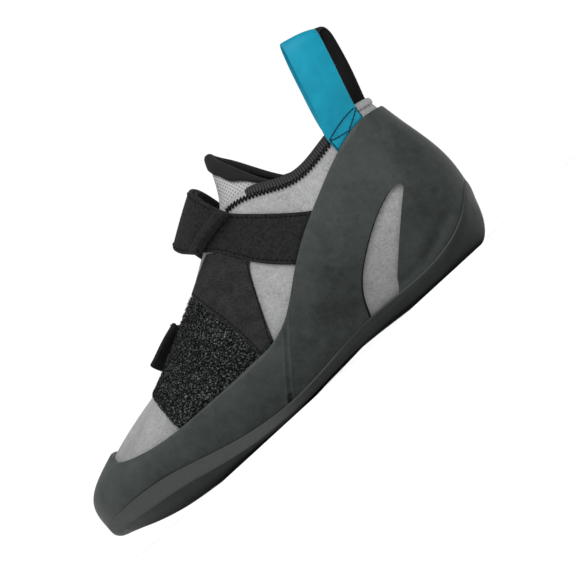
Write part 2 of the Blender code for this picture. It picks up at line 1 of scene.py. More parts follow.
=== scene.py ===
# %% [markdown]
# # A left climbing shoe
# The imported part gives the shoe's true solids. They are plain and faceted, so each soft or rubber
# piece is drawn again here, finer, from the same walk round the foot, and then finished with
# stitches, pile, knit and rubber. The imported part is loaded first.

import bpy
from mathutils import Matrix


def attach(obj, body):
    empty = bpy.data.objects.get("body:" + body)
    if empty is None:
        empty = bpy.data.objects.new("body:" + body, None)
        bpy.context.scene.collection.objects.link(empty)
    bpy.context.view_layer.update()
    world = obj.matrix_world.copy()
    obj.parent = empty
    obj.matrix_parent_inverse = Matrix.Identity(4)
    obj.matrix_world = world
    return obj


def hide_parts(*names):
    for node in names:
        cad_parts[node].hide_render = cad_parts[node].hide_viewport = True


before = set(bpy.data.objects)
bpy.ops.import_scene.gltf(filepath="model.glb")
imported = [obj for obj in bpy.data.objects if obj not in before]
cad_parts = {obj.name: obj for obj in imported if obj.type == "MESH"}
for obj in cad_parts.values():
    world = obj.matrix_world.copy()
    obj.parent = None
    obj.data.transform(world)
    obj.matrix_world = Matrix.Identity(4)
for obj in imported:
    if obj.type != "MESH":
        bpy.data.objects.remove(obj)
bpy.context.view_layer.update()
print("solids:", sorted(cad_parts))

# %% Tools
import math
from collections import namedtuple

import bmesh
import bpy
import numpy as np
from mathutils import Quaternion, Vector
from mathutils.bvhtree import BVHTree

MM = 0.001
# The tables below start at the back of the heel; this moves them to the middle of the shoe's box.
HEEL_TO_MIDDLE = np.array([-127.444, 1.919, 0.0])
UP = np.array([0.0, 0.0, 1.0])

# %% [markdown]
# ## Camera
# The shoe is looked at from its outer side, a little from behind, and the picture is turned so that
# the toe points down to the left. A long lens keeps the perspective flat. The camera could be placed
# by eye, but then nothing says why it is there, so it is worked out from the angle, the turn and the
# number of pixels that a millimetre covers. Its height stops just above the floor.

# %% Camera
VIEW_TURN = math.radians(195)
VIEW_ROLL = math.radians(42.5)
VIEW_AIM = np.array([102.1, -6.7, 48.0])
VIEW_AWAY = 1300.0
VIEW_HEIGHT = 1.0
PIXELS_PER_MM = 2.02
IMAGE_PIXELS = 578
SENSOR_MM = 36
NEAR_M, FAR_M = 0.05, 60


def add_object(name, data):
    obj = bpy.data.objects.new(name, data)
    bpy.context.scene.collection.objects.link(obj)
    return obj


def turn_to(obj, heading, roll=0.0):
    """Point a camera or a lamp, which look along their own -Z, and roll it about that line."""
    obj.rotation_mode = "QUATERNION"
    obj.rotation_quaternion = Vector(heading).to_track_quat("-Z", "Y") @ Quaternion((0, 0, 1), roll)


def make_camera():
    lens = bpy.data.cameras.new("portrait")
    lens.sensor_width = SENSOR_MM
    lens.lens = SENSOR_MM * VIEW_AWAY * PIXELS_PER_MM / IMAGE_PIXELS
    lens.clip_start = NEAR_M
    lens.clip_end = FAR_M
    camera = add_object("portrait", lens)
    rise = math.asin((VIEW_HEIGHT - VIEW_AIM[2]) / VIEW_AWAY)
    back = Vector((
        math.sin(VIEW_TURN) * math.cos(rise), -math.cos(VIEW_TURN) * math.cos(rise), math.sin(rise),
    ))
    camera.location = Vector((VIEW_AIM + HEEL_TO_MIDDLE) * MM) + back * VIEW_AWAY * MM
    turn_to(camera, -back, -VIEW_ROLL)
    bpy.context.scene.camera = camera
    return camera


camera = make_camera()
print("lens", round(camera.data.lens, 1), "mm, height", round(1000 * camera.location.z, 1), "mm")

# %% [markdown]
# ## The foot's own shape
# A shoe is pulled over a last, and every panel of it follows that one form. Each row below is one
# line up the wall: where it leaves the sole (foot), its fullest place (belly), where it turns in
# (shoulder) and where it ends (rim). One smooth curve goes round the shoe through each of the four,
# and another goes up through them, so any point of the wall is found from two numbers. Sculpting
# would give one shape once; a function gives the wall, and anything laid on it, at any fineness.

# %% Wall table
Meridian = namedtuple(
    "Meridian",
    "place foot_x foot_y foot_z belly_out belly_up shoulder_in shoulder_up"
    " rim_x rim_y rim_z rand edge",
)
MERIDIANS = [
    Meridian("heel_back", 1.5, 0, 27, 1.5, 14, .50, .72, 7.5, 0, 88, .90, 5),
    Meridian("heel_corner_lateral", 10, 18.5, 16, 2.5, 22, .50, .72, 14, 13, 89, .915, 5),
    Meridian("heel_lateral", 36, 28.5, 8, 2.5, 26, .50, .72, 34, 20.5, 87, .875, 5),
    Meridian("waist_rear_lateral", 68, 30.5, 9, 2.5, 26, .45, .75, 56, 21, 86, .695, 4),
    Meridian("waist_lateral", 98, 33.5, 7, 3.0, 24, .35, .72, 76, 19, 95.5, .347, 4),
    Meridian("ball_rear_lateral", 128, 38, 5, 3.0, 20, .32, .655, 98, 16.5, 97, .259, 4),
    Meridian("ball_lateral", 158, 42.5, 9, 2.5, 16, .35, .625, 124, 15, 84, .254, 6),
    Meridian("toes_lateral", 192, 39, 18, 2.5, 12, .36, .635, 148, 13, 70, .213, 8),
    Meridian("toe_corner_lateral", 229, 24, 22, 1.0, 10, .24, .54, 165, 9, 60.5, .30, 8),
    Meridian("toe_tip", 254, -6, 20, -1.5, 12, .23, .62, 171, 0, 58, .42, 6),
    Meridian("toe_corner_medial", 245, -29, 16, 0.0, 12, .28, .64, 167, -6, 60, .36, 6),
    Meridian("big_toe_joint", 217, -42, 9, 3.0, 14, .32, .675, 155, -11, 67.5, .278, 7),
    Meridian("ball_medial", 183, -46, 7, 3.0, 17, .35, .645, 136, -14, 79, .262, 6),
    Meridian("waist_front_medial", 145, -43, 6, 3.0, 22, .30, .70, 112, -16, 91, .285, 5),
    Meridian("waist_medial", 108, -37, 7, 3.0, 26, .30, .722, 86, -17.5, 97, .391, 5),
    Meridian("waist_rear_medial", 74, -31.5, 8, 3.0, 26, .40, .75, 60, -20.5, 87, .673, 4),
    Meridian("heel_medial", 38, -27.5, 8, 2.5, 26, .50, .72, 35, -20, 87, .875, 5),
    Meridian("heel_corner_medial", 10, -18.5, 18, 2.5, 20, .50, .72, 14, -13, 89, .915, 5),
]
TOE_TIP = [m.place for m in MERIDIANS].index("toe_tip")
print("wall lines:", len(MERIDIANS))

# %% Lines round the wall
LEVEL = np.array([1.0, 1.0, 0])


def column(*names):
    return np.array([[getattr(m, n) for n in names] for m in MERIDIANS], float)


def unit(vectors):
    return vectors / np.linalg.norm(vectors, axis=-1, keepdims=True)


def run_length(points, axis=0):
    """Distance run at each point, along a line or one of the two ways over a sheet."""
    steps = np.linalg.norm(np.diff(points, axis=axis), axis=-1)
    return np.insert(np.cumsum(steps, axis), 0, 0, axis)


def plan_outward(loop):
    along = np.roll(loop, -1, 0) - np.roll(loop, 1, 0)
    side = unit(np.stack([along[:, 1], -along[:, 0], 0 * along[:, 0]], 1))
    return side * np.sign(((loop - loop.mean(0)) * side).sum())


FOOT = column("foot_x", "foot_y", "foot_z")
RIM = column("rim_x", "rim_y", "rim_z")
BELLY = FOOT + plan_outward(FOOT) * column("belly_out") + column("belly_up") * UP
SHOULDER = FOOT + (RIM - FOOT) * (LEVEL * column("shoulder_in") + UP * column("shoulder_up"))
GIRTH = run_length(np.vstack([BELLY, BELLY[:1]]))
KNOTS = GIRTH[:-1] / GIRTH[-1]
print("round the shoe:", round(GIRTH[-1]), "mm")

# %% Wall functions
SLOPE_STEP = 0.001
LEVEL_BELOW = 0.08


def cubic(knots, values, at, ring=False):
    """Smooth curve through values at their knots; a ring's last value is its first one again."""
    span = np.diff(knots)
    slope = np.diff(values, axis=0) / span[:, None]
    count = len(values) - ring
    system = np.eye(count)
    target = np.zeros((count, values.shape[1]))
    for i in range(count) if ring else range(1, count - 1):
        system[i, [i - 1, i, (i + 1) % count]] = (span[i - 1], 2 * (span[i - 1] + span[i]), span[i])
        target[i] = 6 * (slope[i] - slope[i - 1])
    bend = np.linalg.solve(system, target)
    if ring:
        bend = np.vstack([bend, bend[:1]])
    i = np.clip(np.searchsorted(knots, at, side="right") - 1, 0, len(span) - 1)
    d = (at - knots[i])[:, None]
    h = span[i][:, None]
    first = slope[i] - h * (2 * bend[i] + bend[i + 1]) / 6
    return values[i] + d * first + d * d * bend[i] / 2 + d ** 3 * (bend[i + 1] - bend[i]) / (6 * h)


def loop_curve(values, at):
    """Closed curve through one value per wall line."""
    return cubic(np.append(KNOTS, 1.0), np.vstack([values, values[:1]]), np.mod(at, 1.0), ring=True)


def round_shoe(name, u):
    """A column of the wall table, smooth all round."""
    return loop_curve(column(name), np.ravel(u))[:, 0].reshape(np.shape(u))


def wall_point(u, t):
    """Point at loop position u and height t (0 at the sole, 1 at the rim) on the bare wall."""
    p = np.stack([loop_curve(c, u) for c in (FOOT, BELLY, SHOULDER, RIM)], 1)
    k = run_length(p, 1)
    k /= k[:, -1:]
    h = np.diff(k, axis=1)
    s = np.diff(p, axis=1) / h[:, :, None]
    a = 2 * (h[:, :1] + h[:, 1:2])
    b = h[:, 1:2]
    c = 2 * (h[:, 1:2] + h[:, 2:])
    r1 = 6 * (s[:, 1] - s[:, 0])
    r2 = 6 * (s[:, 2] - s[:, 1])
    m1 = (r1 * c - r2 * b) / (a * c - b * b)
    m2 = (r2 * a - r1 * b) / (a * c - b * b)
    m = np.stack([0 * m1, m1, m2, 0 * m2], 1)
    row = np.arange(len(u))
    i = (t > k[:, 1]).astype(int) + (t > k[:, 2]).astype(int)
    d = (t - k[row, i])[:, None]
    hh = h[row, i][:, None]
    first = s[row, i] - hh * (2 * m[row, i] + m[row, i + 1]) / 6
    return p[row, i] + d * first + d * d * m[row, i] / 2 + d ** 3 * (m[row, i + 1] - m[row, i]) / (6 * hh)


def skin(u, t, lift=0.0):
    """Wall moved out along its own normal, which is level where the wall stands on the sole."""
    shape = np.broadcast(u, t).shape
    u, t, lift = (np.broadcast_to(v, shape).ravel().astype(float) for v in (u, t, lift))
    along = wall_point(u + SLOPE_STEP, t) - wall_point(u - SLOPE_STEP, t)
    up = wall_point(u, np.minimum(t + SLOPE_STEP, 1)) - wall_point(u, np.maximum(t - SLOPE_STEP, 0))
    normal = np.cross(up, along)
    normal[:, 2] *= np.clip(t / LEVEL_BELOW, 0, 1)
    return (wall_point(u, t) + unit(normal) * lift[:, None]).reshape(shape + (3,))


def at_row(row):
    """Loop position of a row number; 4.5 is half way from row 4 to row 5."""
    numbers = np.arange(-len(KNOTS), 2 * len(KNOTS))
    return np.interp(row, numbers, np.concatenate([KNOTS - 1, KNOTS, KNOTS + 1]))


print("rim at the heel:", skin(np.zeros(1), np.ones(1))[0].round(1), "mm")

# %% [markdown]
# ## From points to pieces
# Nearly every piece here is a row of closed cross-sections: a strap, the wall's thickness, the sole's
# rings, a thread. One function joins such sections into a mesh, closes its ends, and keeps two
# things that a finish needs later: how far along and across the cloth a point is, and soft
# marks such as "this is the buffed edge". Separate code for each piece would hide how alike they are.

# %% Meshes


def write_mesh(name, points, faces, cloth=None, marks=None, second=None):
    """Mesh object in the row frame, its faces turned outwards and shaded smooth."""
    mesh = bpy.data.meshes.new(name)
    points = points.reshape(-1, 3)
    mesh.from_pydata(((points + HEEL_TO_MIDDLE) * MM).tolist(), [], faces)
    if second is not None:
        mesh.polygons.foreach_set("material_index", second.astype(np.int32))
    if cloth is not None:
        corner = np.zeros(len(mesh.loops), np.int32)
        mesh.loops.foreach_get("vertex_index", corner)
        layer = mesh.uv_layers.new(name="cloth")
        layer.data.foreach_set("uv", cloth.reshape(-1, 2)[corner].astype(np.float32).ravel())
    for mark, values in (marks or {}).items():
        attribute = mesh.attributes.new(mark, "FLOAT", "POINT")
        attribute.data.foreach_set("value", values.astype(np.float32).ravel())
    bm = bmesh.new()
    bm.from_mesh(mesh)
    bmesh.ops.recalc_face_normals(bm, faces=bm.faces)
    bm.to_mesh(mesh)
    bm.free()
    mesh.shade_smooth()
    return add_object(name, mesh)


def loft(name, sections, ring=False, cloth=None, marks=None, inside_from=None):
    """Body through closed sections; a ring joins the last to the first, else both ends are lidded."""
    rows, cols = sections.shape[:2]
    index = np.arange(rows * cols).reshape(rows, cols)
    here = index if ring else index[:-1]
    there = np.roll(index, -1, 0) if ring else index[1:]
    walls = np.stack([here, np.roll(here, -1, 1), np.roll(there, -1, 1), there], -1)
    second = np.zeros(walls.shape[:2], int)
    if inside_from is not None:
        second[:, inside_from:] = 1
    faces = walls.reshape(-1, 4)
    second = second.ravel()
    if not ring:
        j = np.arange(cols // 2 - 1)
        lid = np.stack([j, j + 1, cols - 2 - j, cols - 1 - j], -1)
        faces = np.concatenate([faces, lid, (rows - 1) * cols + lid])
        second = np.append(second, np.zeros(2 * len(lid), int))
    return write_mesh(name, sections, faces.tolist(), cloth, marks, second)


def tubes(name, paths, across, radius, sides=6):
    """Many short threads in one mesh: paths by thread and point, across a direction square to each."""
    count, steps = paths.shape[:2]
    along = unit(np.gradient(paths, axis=1))
    first = unit(across - along * (across * along).sum(2)[:, :, None])
    other = np.cross(along, first)
    turn = np.linspace(0, 2 * np.pi, sides, endpoint=False)[:, None]
    ring = first[:, :, None] * np.cos(turn) + other[:, :, None] * np.sin(turn)
    points = paths[:, :, None] + ring * radius
    index = np.arange(count * steps * sides).reshape(count, steps, sides)
    a = index[:, :-1]
    b = index[:, 1:]
    walls = np.stack([a, np.roll(a, -1, 2), np.roll(b, -1, 2), b], -1).reshape(-1, 4)
    faces = walls.tolist() + index[:, 0].tolist() + index[:, -1].tolist()
    return write_mesh(name, points, faces)


print("mesh tools ready")

# %% Dressing a piece
TRIANGLES = {}


def dress(obj, slot, finishes, *nodes):
    """Give a piece its finish, its place on the shoe, and the solids it stands for."""
    for finish in finishes:
        if finish.name not in obj.data.materials:
            obj.data.materials.append(finish)
    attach(obj, "root")
    if nodes:
        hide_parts(*nodes)
    obj.data.calc_loop_triangles()
    TRIANGLES[obj.name] = len(obj.data.loop_triangles)
    print(obj.name, TRIANGLES[obj.name], "triangles")
    return obj


def between(x, start, end):
    """0 before start and 1 past end, with a soft rise; start may be the larger."""
    x = np.clip((x - start) / (end - start), 0, 1)
    return x * x * (3 - 2 * x)


def bell(off, wide):
    return np.exp(-(off / wide) ** 2)


def there_and_back(over, under):
    """Closed sections from a sheet's upper face and its lower one."""
    return np.concatenate([over, under[:, ::-1]], 1)


print("soft step, half way:", between(0.5, 0, 1))

# %% [markdown]
# ## Writing finishes as sums
# A finish is a graph of nodes, and most of the graph is arithmetic: this mask times that noise, one
# minus the result. Wiring it by hand is slow to read, so a small class stands for one node output and
# turns Python's own operators into Math nodes. Everything that isn't arithmetic comes from its one
# method `node`, which takes a node's type, its settings, and what its sockets hold.

# %% Sockets


class Socket:
    """One output in a finish, to be used in sums like a plain number."""

    def __init__(self, tree, output=None):
        self.tree = tree
        self.output = output

    def node(self, kind, settings=None, inputs=None, output=0):
        made = self.tree.nodes.new(kind)
        for name, value in (settings or {}).items():
            if name == "stops":
                for element, (place, shade) in zip(made.color_ramp.elements, value):
                    element.position = place
                    element.color = (shade, shade, shade, 1)
            else:
                setattr(made, name, value)
        for name, value in (inputs or {}).items():
            self.feed(made.inputs[name], value)
        return Socket(self.tree, made.outputs[output])

    def feed(self, target, value):
        if isinstance(value, Socket):
            self.tree.links.new(value.output, target)
        else:
            target.default_value = value

    def sum(self, operation, first, second):
        return self.node("ShaderNodeMath", {"operation": operation}, {0: first, 1: second})

    def __add__(self, other):
        return self.sum("ADD", self, other)

    def __radd__(self, other):
        return self.sum("ADD", other, self)

    def __sub__(self, other):
        return self.sum("SUBTRACT", self, other)

    def __rsub__(self, other):
        return self.sum("SUBTRACT", other, self)

    def __mul__(self, other):
        return self.sum("MULTIPLY", self, other)

    def __rmul__(self, other):
        return self.sum("MULTIPLY", other, self)


print("sums ready")

# %% Finishes
SHEEN_ROUGHNESS = 0.5


class Finish:
    """A material with its main shader, and the few patterns that the shoe's finishes share."""

    def __init__(self, name, roughness, sheen=0.0, specular=0.5):
        self.material = bpy.data.materials.new(name)
        self.material.use_nodes = True
        self.shader = self.material.node_tree.nodes["Principled BSDF"]
        self.start = Socket(self.material.node_tree)
        self.place = self.start.node("ShaderNodeTexCoord", output="Object")
        self.set("Roughness", roughness)
        self.set("Sheen Weight", sheen)
        self.set("Sheen Roughness", SHEEN_ROUGHNESS)
        self.set("Specular IOR Level", specular)

    def set(self, name, value):
        self.start.feed(self.shader.inputs[name], value)

    def noise(self, size_mm, detail=2.0, rough=0.5):
        """Cloudy noise whose blotches are about this many millimetres across, around 0.5."""
        inputs = {"Vector": self.place, "Scale": 1000.0 / size_mm, "Detail": detail, "Roughness": rough}
        return self.start.node("ShaderNodeTexNoise", None, inputs)

    def axis(self, vector, which):
        return self.start.node("ShaderNodeSeparateXYZ", None, {0: vector}, output=which)

    def cloth(self):
        """How far along and across the cloth a point is, in millimetres."""
        uv = self.start.node("ShaderNodeUVMap", {"uv_map": "cloth"})
        return self.axis(uv, 0), self.axis(uv, 1)

    def faces_up(self):
        """1 where the surface looks up, 0 where it stands upright, -1 where it turns under."""
        return self.axis(self.start.node("ShaderNodeNewGeometry", output="Normal"), 2)

    def mark(self, name):
        return self.start.node("ShaderNodeAttribute", {"attribute_name": name}, output="Fac")

    def wave(self, value, pitch):
        """Rises and falls once in each pitch, between 0 and 1."""
        turned = value * (2 * math.pi / pitch)
        return self.start.sum("SINE", turned, 0.0) * 0.5 + 0.5

    def ramp(self, value, low, high):
        return self.start.node("ShaderNodeValToRGB", {"stops": [(low, 0.0), (high, 1.0)]}, {0: value})

    def blend(self, factor, first, second):
        """Colour between two colours."""
        first, second = (c if isinstance(c, Socket) else (*c, 1.0) for c in (first, second))
        return self.start.node(
            "ShaderNodeMix", {"data_type": "RGBA"}, {0: factor, 6: first, 7: second}, output=2)

    def relief(self, height, depth_mm, under=None):
        """Bump of this depth, laid over another one if given."""
        inputs = {"Height": height, "Distance": depth_mm * MM, "Strength": 1.0}
        if under:
            inputs["Normal"] = under
        return self.start.node("ShaderNodeBump", None, inputs)


def darker(colour, share):
    return [c * share for c in colour]


print("finish tools ready")

# %% [markdown]
# ## Rubber
# Climbing rubber is matt and nearly black, with a grey bloom in soft clouds and a fine, pressed skin.
# Its colour is painted paler where it faces up, towards toe and heel and below the rand's top edge, and
# darker where it turns under: painted light and shade.
# Where the sole's side is ground to shape it is paler and drier than the rest. One flat grey would
# look like plastic, so the colour and the gloss drift with the same clouds, and the ground edge
# comes from a mark on the mesh.

# %% Rubber finishes


def rubber(name, dark, pale, roughness):
    f = Finish(name, roughness, specular=0.17)
    mottled = f.noise(26, 3, 0.6) * 0.4 + f.noise(6, 4, 0.7) * 0.4 + f.noise(1.8, 3, 0.7) * 0.2
    clouds = f.ramp(mottled, 0.39, 0.63)
    # Painted light and shade: paler where the surface faces up, darker where it turns under.
    painted_shade_by_facing = f.ramp(f.faces_up() * 0.5 + 0.5, 0.30, 0.86)
    along = f.axis(f.place, "X")
    # Painted light: paler towards the toe and the heel, and where the mesh carries its painted-light mark.
    toe = f.ramp(along * 5 + 0.2, 0.2, 0.75)
    heel = f.ramp(along * -8, 0.3, 0.9)
    painted_light = toe * 0.28 + heel * 0.10 + f.mark("painted_light") * 0.26
    edge = f.mark("ground")
    body = f.blend(clouds * 0.5 + painted_shade_by_facing * 0.4 + painted_light - 0.1, dark, pale)
    ground = f.blend(f.noise(1.1, 3, 0.6), darker(pale, 1.5), darker(pale, 2.2))
    f.set("Base Color", f.blend(edge, body, ground))
    f.set("Roughness", roughness - 0.09 + clouds * 0.16 + edge * 0.12)
    grain = f.relief(f.noise(0.9, 3, 0.65) * (0.45 + edge * 0.55), 0.07)
    f.set("Normal", f.relief(f.noise(7, 3, 0.55), 0.40, grain))
    return f.material


SOLE_RUBBER = rubber("sole_rubber", (.0070, .0080, .0080), (.0210, .0232, .0228), 0.55)
RAND_RUBBER = rubber("rand_rubber", (.0072, .0092, .0089), (.0405, .0484, .0467), 0.50)
# Near-black rubber for the window's cut wall: painted shade, drawn as a dark line.
PAINTED_SHADE_CUT_RUBBER = rubber("rubber_cut_edge_painted_shade", (.0020, .0024, .0024), (.0060, .0068, .0066), 0.60)
print("rubber:", SOLE_RUBBER.name, RAND_RUBBER.name, PAINTED_SHADE_CUT_RUBBER.name)

# %% [markdown]
# ## Suede and cloth
# Suede is a nap: short fibres that lie one way here and another there, so it is pale in patches and has
# no gloss. It is darker near the floor. The black microfibre is smooth and dense, the straps have a
# fine twill, the loops a close weave, the binding a rib. They could share one cloth with new colours,
# but the scale of the grain is what tells them apart, so each has its own.

# %% Suede


def suede(name, dark, pale):
    f = Finish(name, 0.92, sheen=0.08, specular=0.15)
    nap = f.noise(0.9, 4, 0.75)
    brushed = f.noise(3.2, 4, 0.65)
    shade = f.ramp(nap * 0.6 + brushed * 0.22 + f.noise(18, 2, 0.5) * 0.18, 0.36, 0.64)
    # Darker towards the floor.
    above_floor = f.ramp(f.axis(f.place, "Z") * 10, 0.10, 0.60)
    darker_low = f.blend(shade, darker(dark, 0.6), darker(pale, 0.6))
    f.set("Base Color", f.blend(above_floor, darker_low, f.blend(shade, dark, pale)))
    f.set("Normal", f.relief(nap, 0.16, f.relief(brushed, 0.12)))
    return f.material


SUEDE = suede("suede", (.178, .179, .180), (.355, .356, .357))
print("upper:", SUEDE.name)

# %% Microfibre, lining and thread


def microfibre(name, dark, pale):
    f = Finish(name, 0.84, sheen=0.03, specular=0.12)
    grain = f.noise(0.8, 3, 0.7)
    shade = f.ramp(grain * 0.7 + f.noise(6, 3, 0.6) * 0.3, 0.41, 0.61)
    f.set("Base Color", f.blend(shade, dark, pale))
    f.set("Normal", f.relief(grain, 0.10))
    return f.material


LINING = microfibre("lining", (.05, .05, .051), (.085, .085, .086))
FOOTBED = microfibre("footbed", (.07, .07, .071), (.13, .13, .131))
MICROFIBRE = microfibre("microfibre", (.0070, .0072, .0072), (.0225, .0227, .0227))
THREAD_BLACK = microfibre("thread_black", (.0012, .0012, .0013), (.0040, .0040, .0041))
THREAD_BLUE = microfibre("thread_blue", (.002, .020, .034), (.003, .032, .050))
print("smooth cloths:", LINING.name, FOOTBED.name, MICROFIBRE.name)

# %% Strap twill


def twill(name, dark, pale, pitch):
    """Strap cloth: slanting ribs that cross a fainter second set."""
    f = Finish(name, 0.80, sheen=0.03, specular=0.10)
    along, across = f.cloth()
    weave = f.wave(along + across, pitch) * 0.7 + f.wave(along - across, pitch * 0.5) * 0.3
    shade = f.ramp(weave * 0.2 + f.noise(1.5, 4, 0.7) * 0.8, 0.38, 0.62)
    f.set("Base Color", f.blend(shade, dark, pale))
    f.set("Normal", f.relief(weave, 0.10, f.relief(f.noise(0.5, 2, 0.6), 0.05)))
    return f.material


STRAP_TWILL = twill("strap_twill", (.0042, .0045, .0044), (.0168, .0174, .0171), 1.1)
print("straps:", STRAP_TWILL.name)

# %% Loop webbing


def webbing(name, dark, pale):
    """Woven tape: lines of thread along it, crossed by a close weft."""
    f = Finish(name, 0.5, specular=0.13)
    along, across = f.cloth()
    warp = f.wave(across + f.wave(along, 1.4) * 0.2, 1.0)
    weft = f.wave(along + f.wave(across, 1.0) * 0.25, 0.9)
    weave = warp * 0.6 + weft * 0.4
    shade = f.ramp(weave * 0.16 + f.noise(9, 2, 0.5) * 0.84, 0.22, 0.78)
    f.set("Base Color", f.blend(shade, dark, pale))
    f.set("Roughness", 0.44 + weave * 0.12)
    f.set("Normal", f.relief(weave, 0.015))
    return f.material


WEBBING_BLUE = webbing("webbing_blue", (.0015, .170, .260), (.0040, .245, .355))
WEBBING_BLACK = webbing("webbing_black", (.004, .004, .0042), (.010, .010, .0105))
print("webbing:", WEBBING_BLUE.name, WEBBING_BLACK.name)

# %% Binding knit


def knit(name, dark, pale, pitch):
    """Ribbed knit: cords across the band, each a chain of small stitches."""
    f = Finish(name, 0.88, sheen=0.04, specular=0.15)
    along, across = f.cloth()
    cords = f.wave(along, pitch)
    weave = cords * 0.7 + f.wave(across + cords * 0.4, pitch * 0.8) * 0.3
    fuzz = f.noise(0.5, 2, 0.6)
    f.set("Base Color", f.blend(f.ramp(weave * 0.6 + fuzz * 0.4, 0.3, 0.75), dark, pale))
    f.set("Normal", f.relief(weave, 0.22, f.relief(fuzz, 0.06)))
    return f.material


BINDING_KNIT = knit("binding_knit", (.0030, .0030, .0031), (.0420, .0420, .0428), 1.5)
print("binding:", BINDING_KNIT.name)

# %% Loop pile thread


def pile(name, dark, pale):
    """Loop pile: mostly black, with pale specks painted in as glints of single threads."""
    f = Finish(name, 0.75, sheen=0.02, specular=0.08)
    # Painted glints: pale specks in the base colour where threads would catch the light.
    painted_glints = f.ramp(f.noise(0.95, 3, 0.75), 0.53, 0.64)
    f.set("Base Color", f.blend(painted_glints, dark, pale))
    return f.material


PILE = pile("loop_pile", (.0012, .0014, .0014), (.165, .178, .175))
print("landing patch:", PILE.name)

# %% Tongue cloth


def tongue_cloth(name):
    """Black knit at the tip, pale open mesh below it, told apart by a mark on the mesh."""
    f = Finish(name, 0.9, sheen=0.04, specular=0.15)
    along, across = f.cloth()
    holes = f.wave(along, 1.7) * f.wave(across, 1.7)
    mesh = f.blend(f.ramp(holes, 0.25, 0.7), (.42, .42, .425), (.20, .20, .202))
    rib = f.wave(across, 1.2) * 0.2 + f.noise(0.5, 2, 0.6) * 0.8
    black = f.blend(f.ramp(rib, 0.3, 0.7), (.007, .007, .0072), (.014, .014, .0143))
    tip = f.mark("tip")
    f.set("Base Color", f.blend(tip, mesh, black))
    height = holes * (1 - tip) * -0.6 + rib * tip * 0.4
    f.set("Normal", f.relief(height, 0.25))
    return f.material


TONGUE_CLOTH = tongue_cloth("tongue_cloth")
print("tongue:", TONGUE_CLOTH.name)

# %% [markdown]
# ## Upper
# The upper is one suede wall from the sole to the collar and round the throat. It could be a copy of
# the solid with a subdivision, but that softens the rim; the wall function gives it directly. A section
# goes up the outside, turns over the rim, and comes down inside, where the lining starts.

# %% Upper
GAP = 0.3
WALL = 1.8
AROUND_FINE = 300
OUTSIDE_ROWS, RIM_ROWS, INSIDE_ROWS = 72, 4, 40
RIM_ROUND = 0.25


def upper_sections():
    u = np.linspace(0, 1, AROUND_FINE, endpoint=False)[:, None]
    outside = skin(u, np.linspace(0, 1, OUTSIDE_ROWS))
    inside = skin(u, np.linspace(1, 0, INSIDE_ROWS), -WALL)
    top = unit(outside[:, -1:] - outside[:, -2:-1])
    turn = np.linspace(0, np.pi, RIM_ROWS + 2)[1:-1, None]
    edge = outside[:, -1:] + (inside[:, :1] - outside[:, -1:]) * (1 - np.cos(turn)) / 2
    edge = edge + top * np.sin(turn) * RIM_ROUND
    return np.concatenate([outside, edge, inside], 1)


upper = loft("suede_wall", upper_sections(), ring=True, inside_from=OUTSIDE_ROWS + RIM_ROWS - 1)
dress(upper, "suede", [SUEDE, LINING], "upper")

# %% [markdown]
# ## Rubber rand
# The rand is a strip of rubber glued round the wall. Its edges are skived, which means pared thin, so
# they lie down on the suede, and its two halves meet at a slanting seam. The wall function lifts
# the strip off the suede; its thickness falls towards every edge. The seam is a plane, so the mesh is
# cut with a plane. The window has a curved outline, and a boolean with a fine prism cuts it cleanly.

# %% Rand strip
RAND = 2.0
SKIVED = 1.5
SKIVE_RUN = 1.1
# How far below the rubber's top edge its colour is painted paler: painted light from above.
PAINTED_LIGHT_RUN = 26.0
RAND_ROWS = 60
# How many sections lie between these rows of the wall table; they crowd where the seam crosses.
Stretch = namedtuple("Stretch", "first last sections")
RAND_STRETCHES = [
    Stretch(0, 3.3, 90), Stretch(3.3, 5.4, 220), Stretch(5.4, 13, 200),
    Stretch(13, 15.2, 190), Stretch(15.2, len(MERIDIANS), 80),
]
WELT_OFF, WELT_WIDE, WELT_HIGH = 1.6, 0.45, 0.36
SEAM_WIDE, SEAM_DEEP = 0.5, 0.32
Seam = namedtuple("Seam", "x z")
SEAM = (Seam(148.4, -20), Seam(15, 140))
# Soft marks that the lasting pulls into the rubber: a line on the long section, how wide and how deep.
Crease = namedtuple("Crease", "place x0 z0 x1 z1 wide deep")
CREASES = [
    Crease("seam_foot", 126.2, 6.0, 124.8, 8.2, 1.2, 1.3),
    Crease("seam_hollow", 116, 8, 99, 27, 3.2, .35),
    Crease("window_dent", 86, 20, 78, 17, 5.5, .45),
    Crease("waist_pull", 118, 13, 84, 24, 4.0, .20),
    Crease("heel_hollow_low", 60, 12.2, 34, 11.9, 2.6, 1.00),
    Crease("heel_hollow_high", 34, 11.9, 12, 20.4, 2.9, 1.40),
    Crease("toe_hollow", 236, 32, 190, 29, 5.0, .35),
]


def off_line(points, start, end):
    """Distance on the long section from each point to the straight line between two places."""
    start = np.array(start, float)
    along = np.array(end, float) - start
    part = np.clip(((points - start) @ along) / (along @ along), 0, 1)
    return np.linalg.norm(points - start - part[..., None] * along, axis=-1)


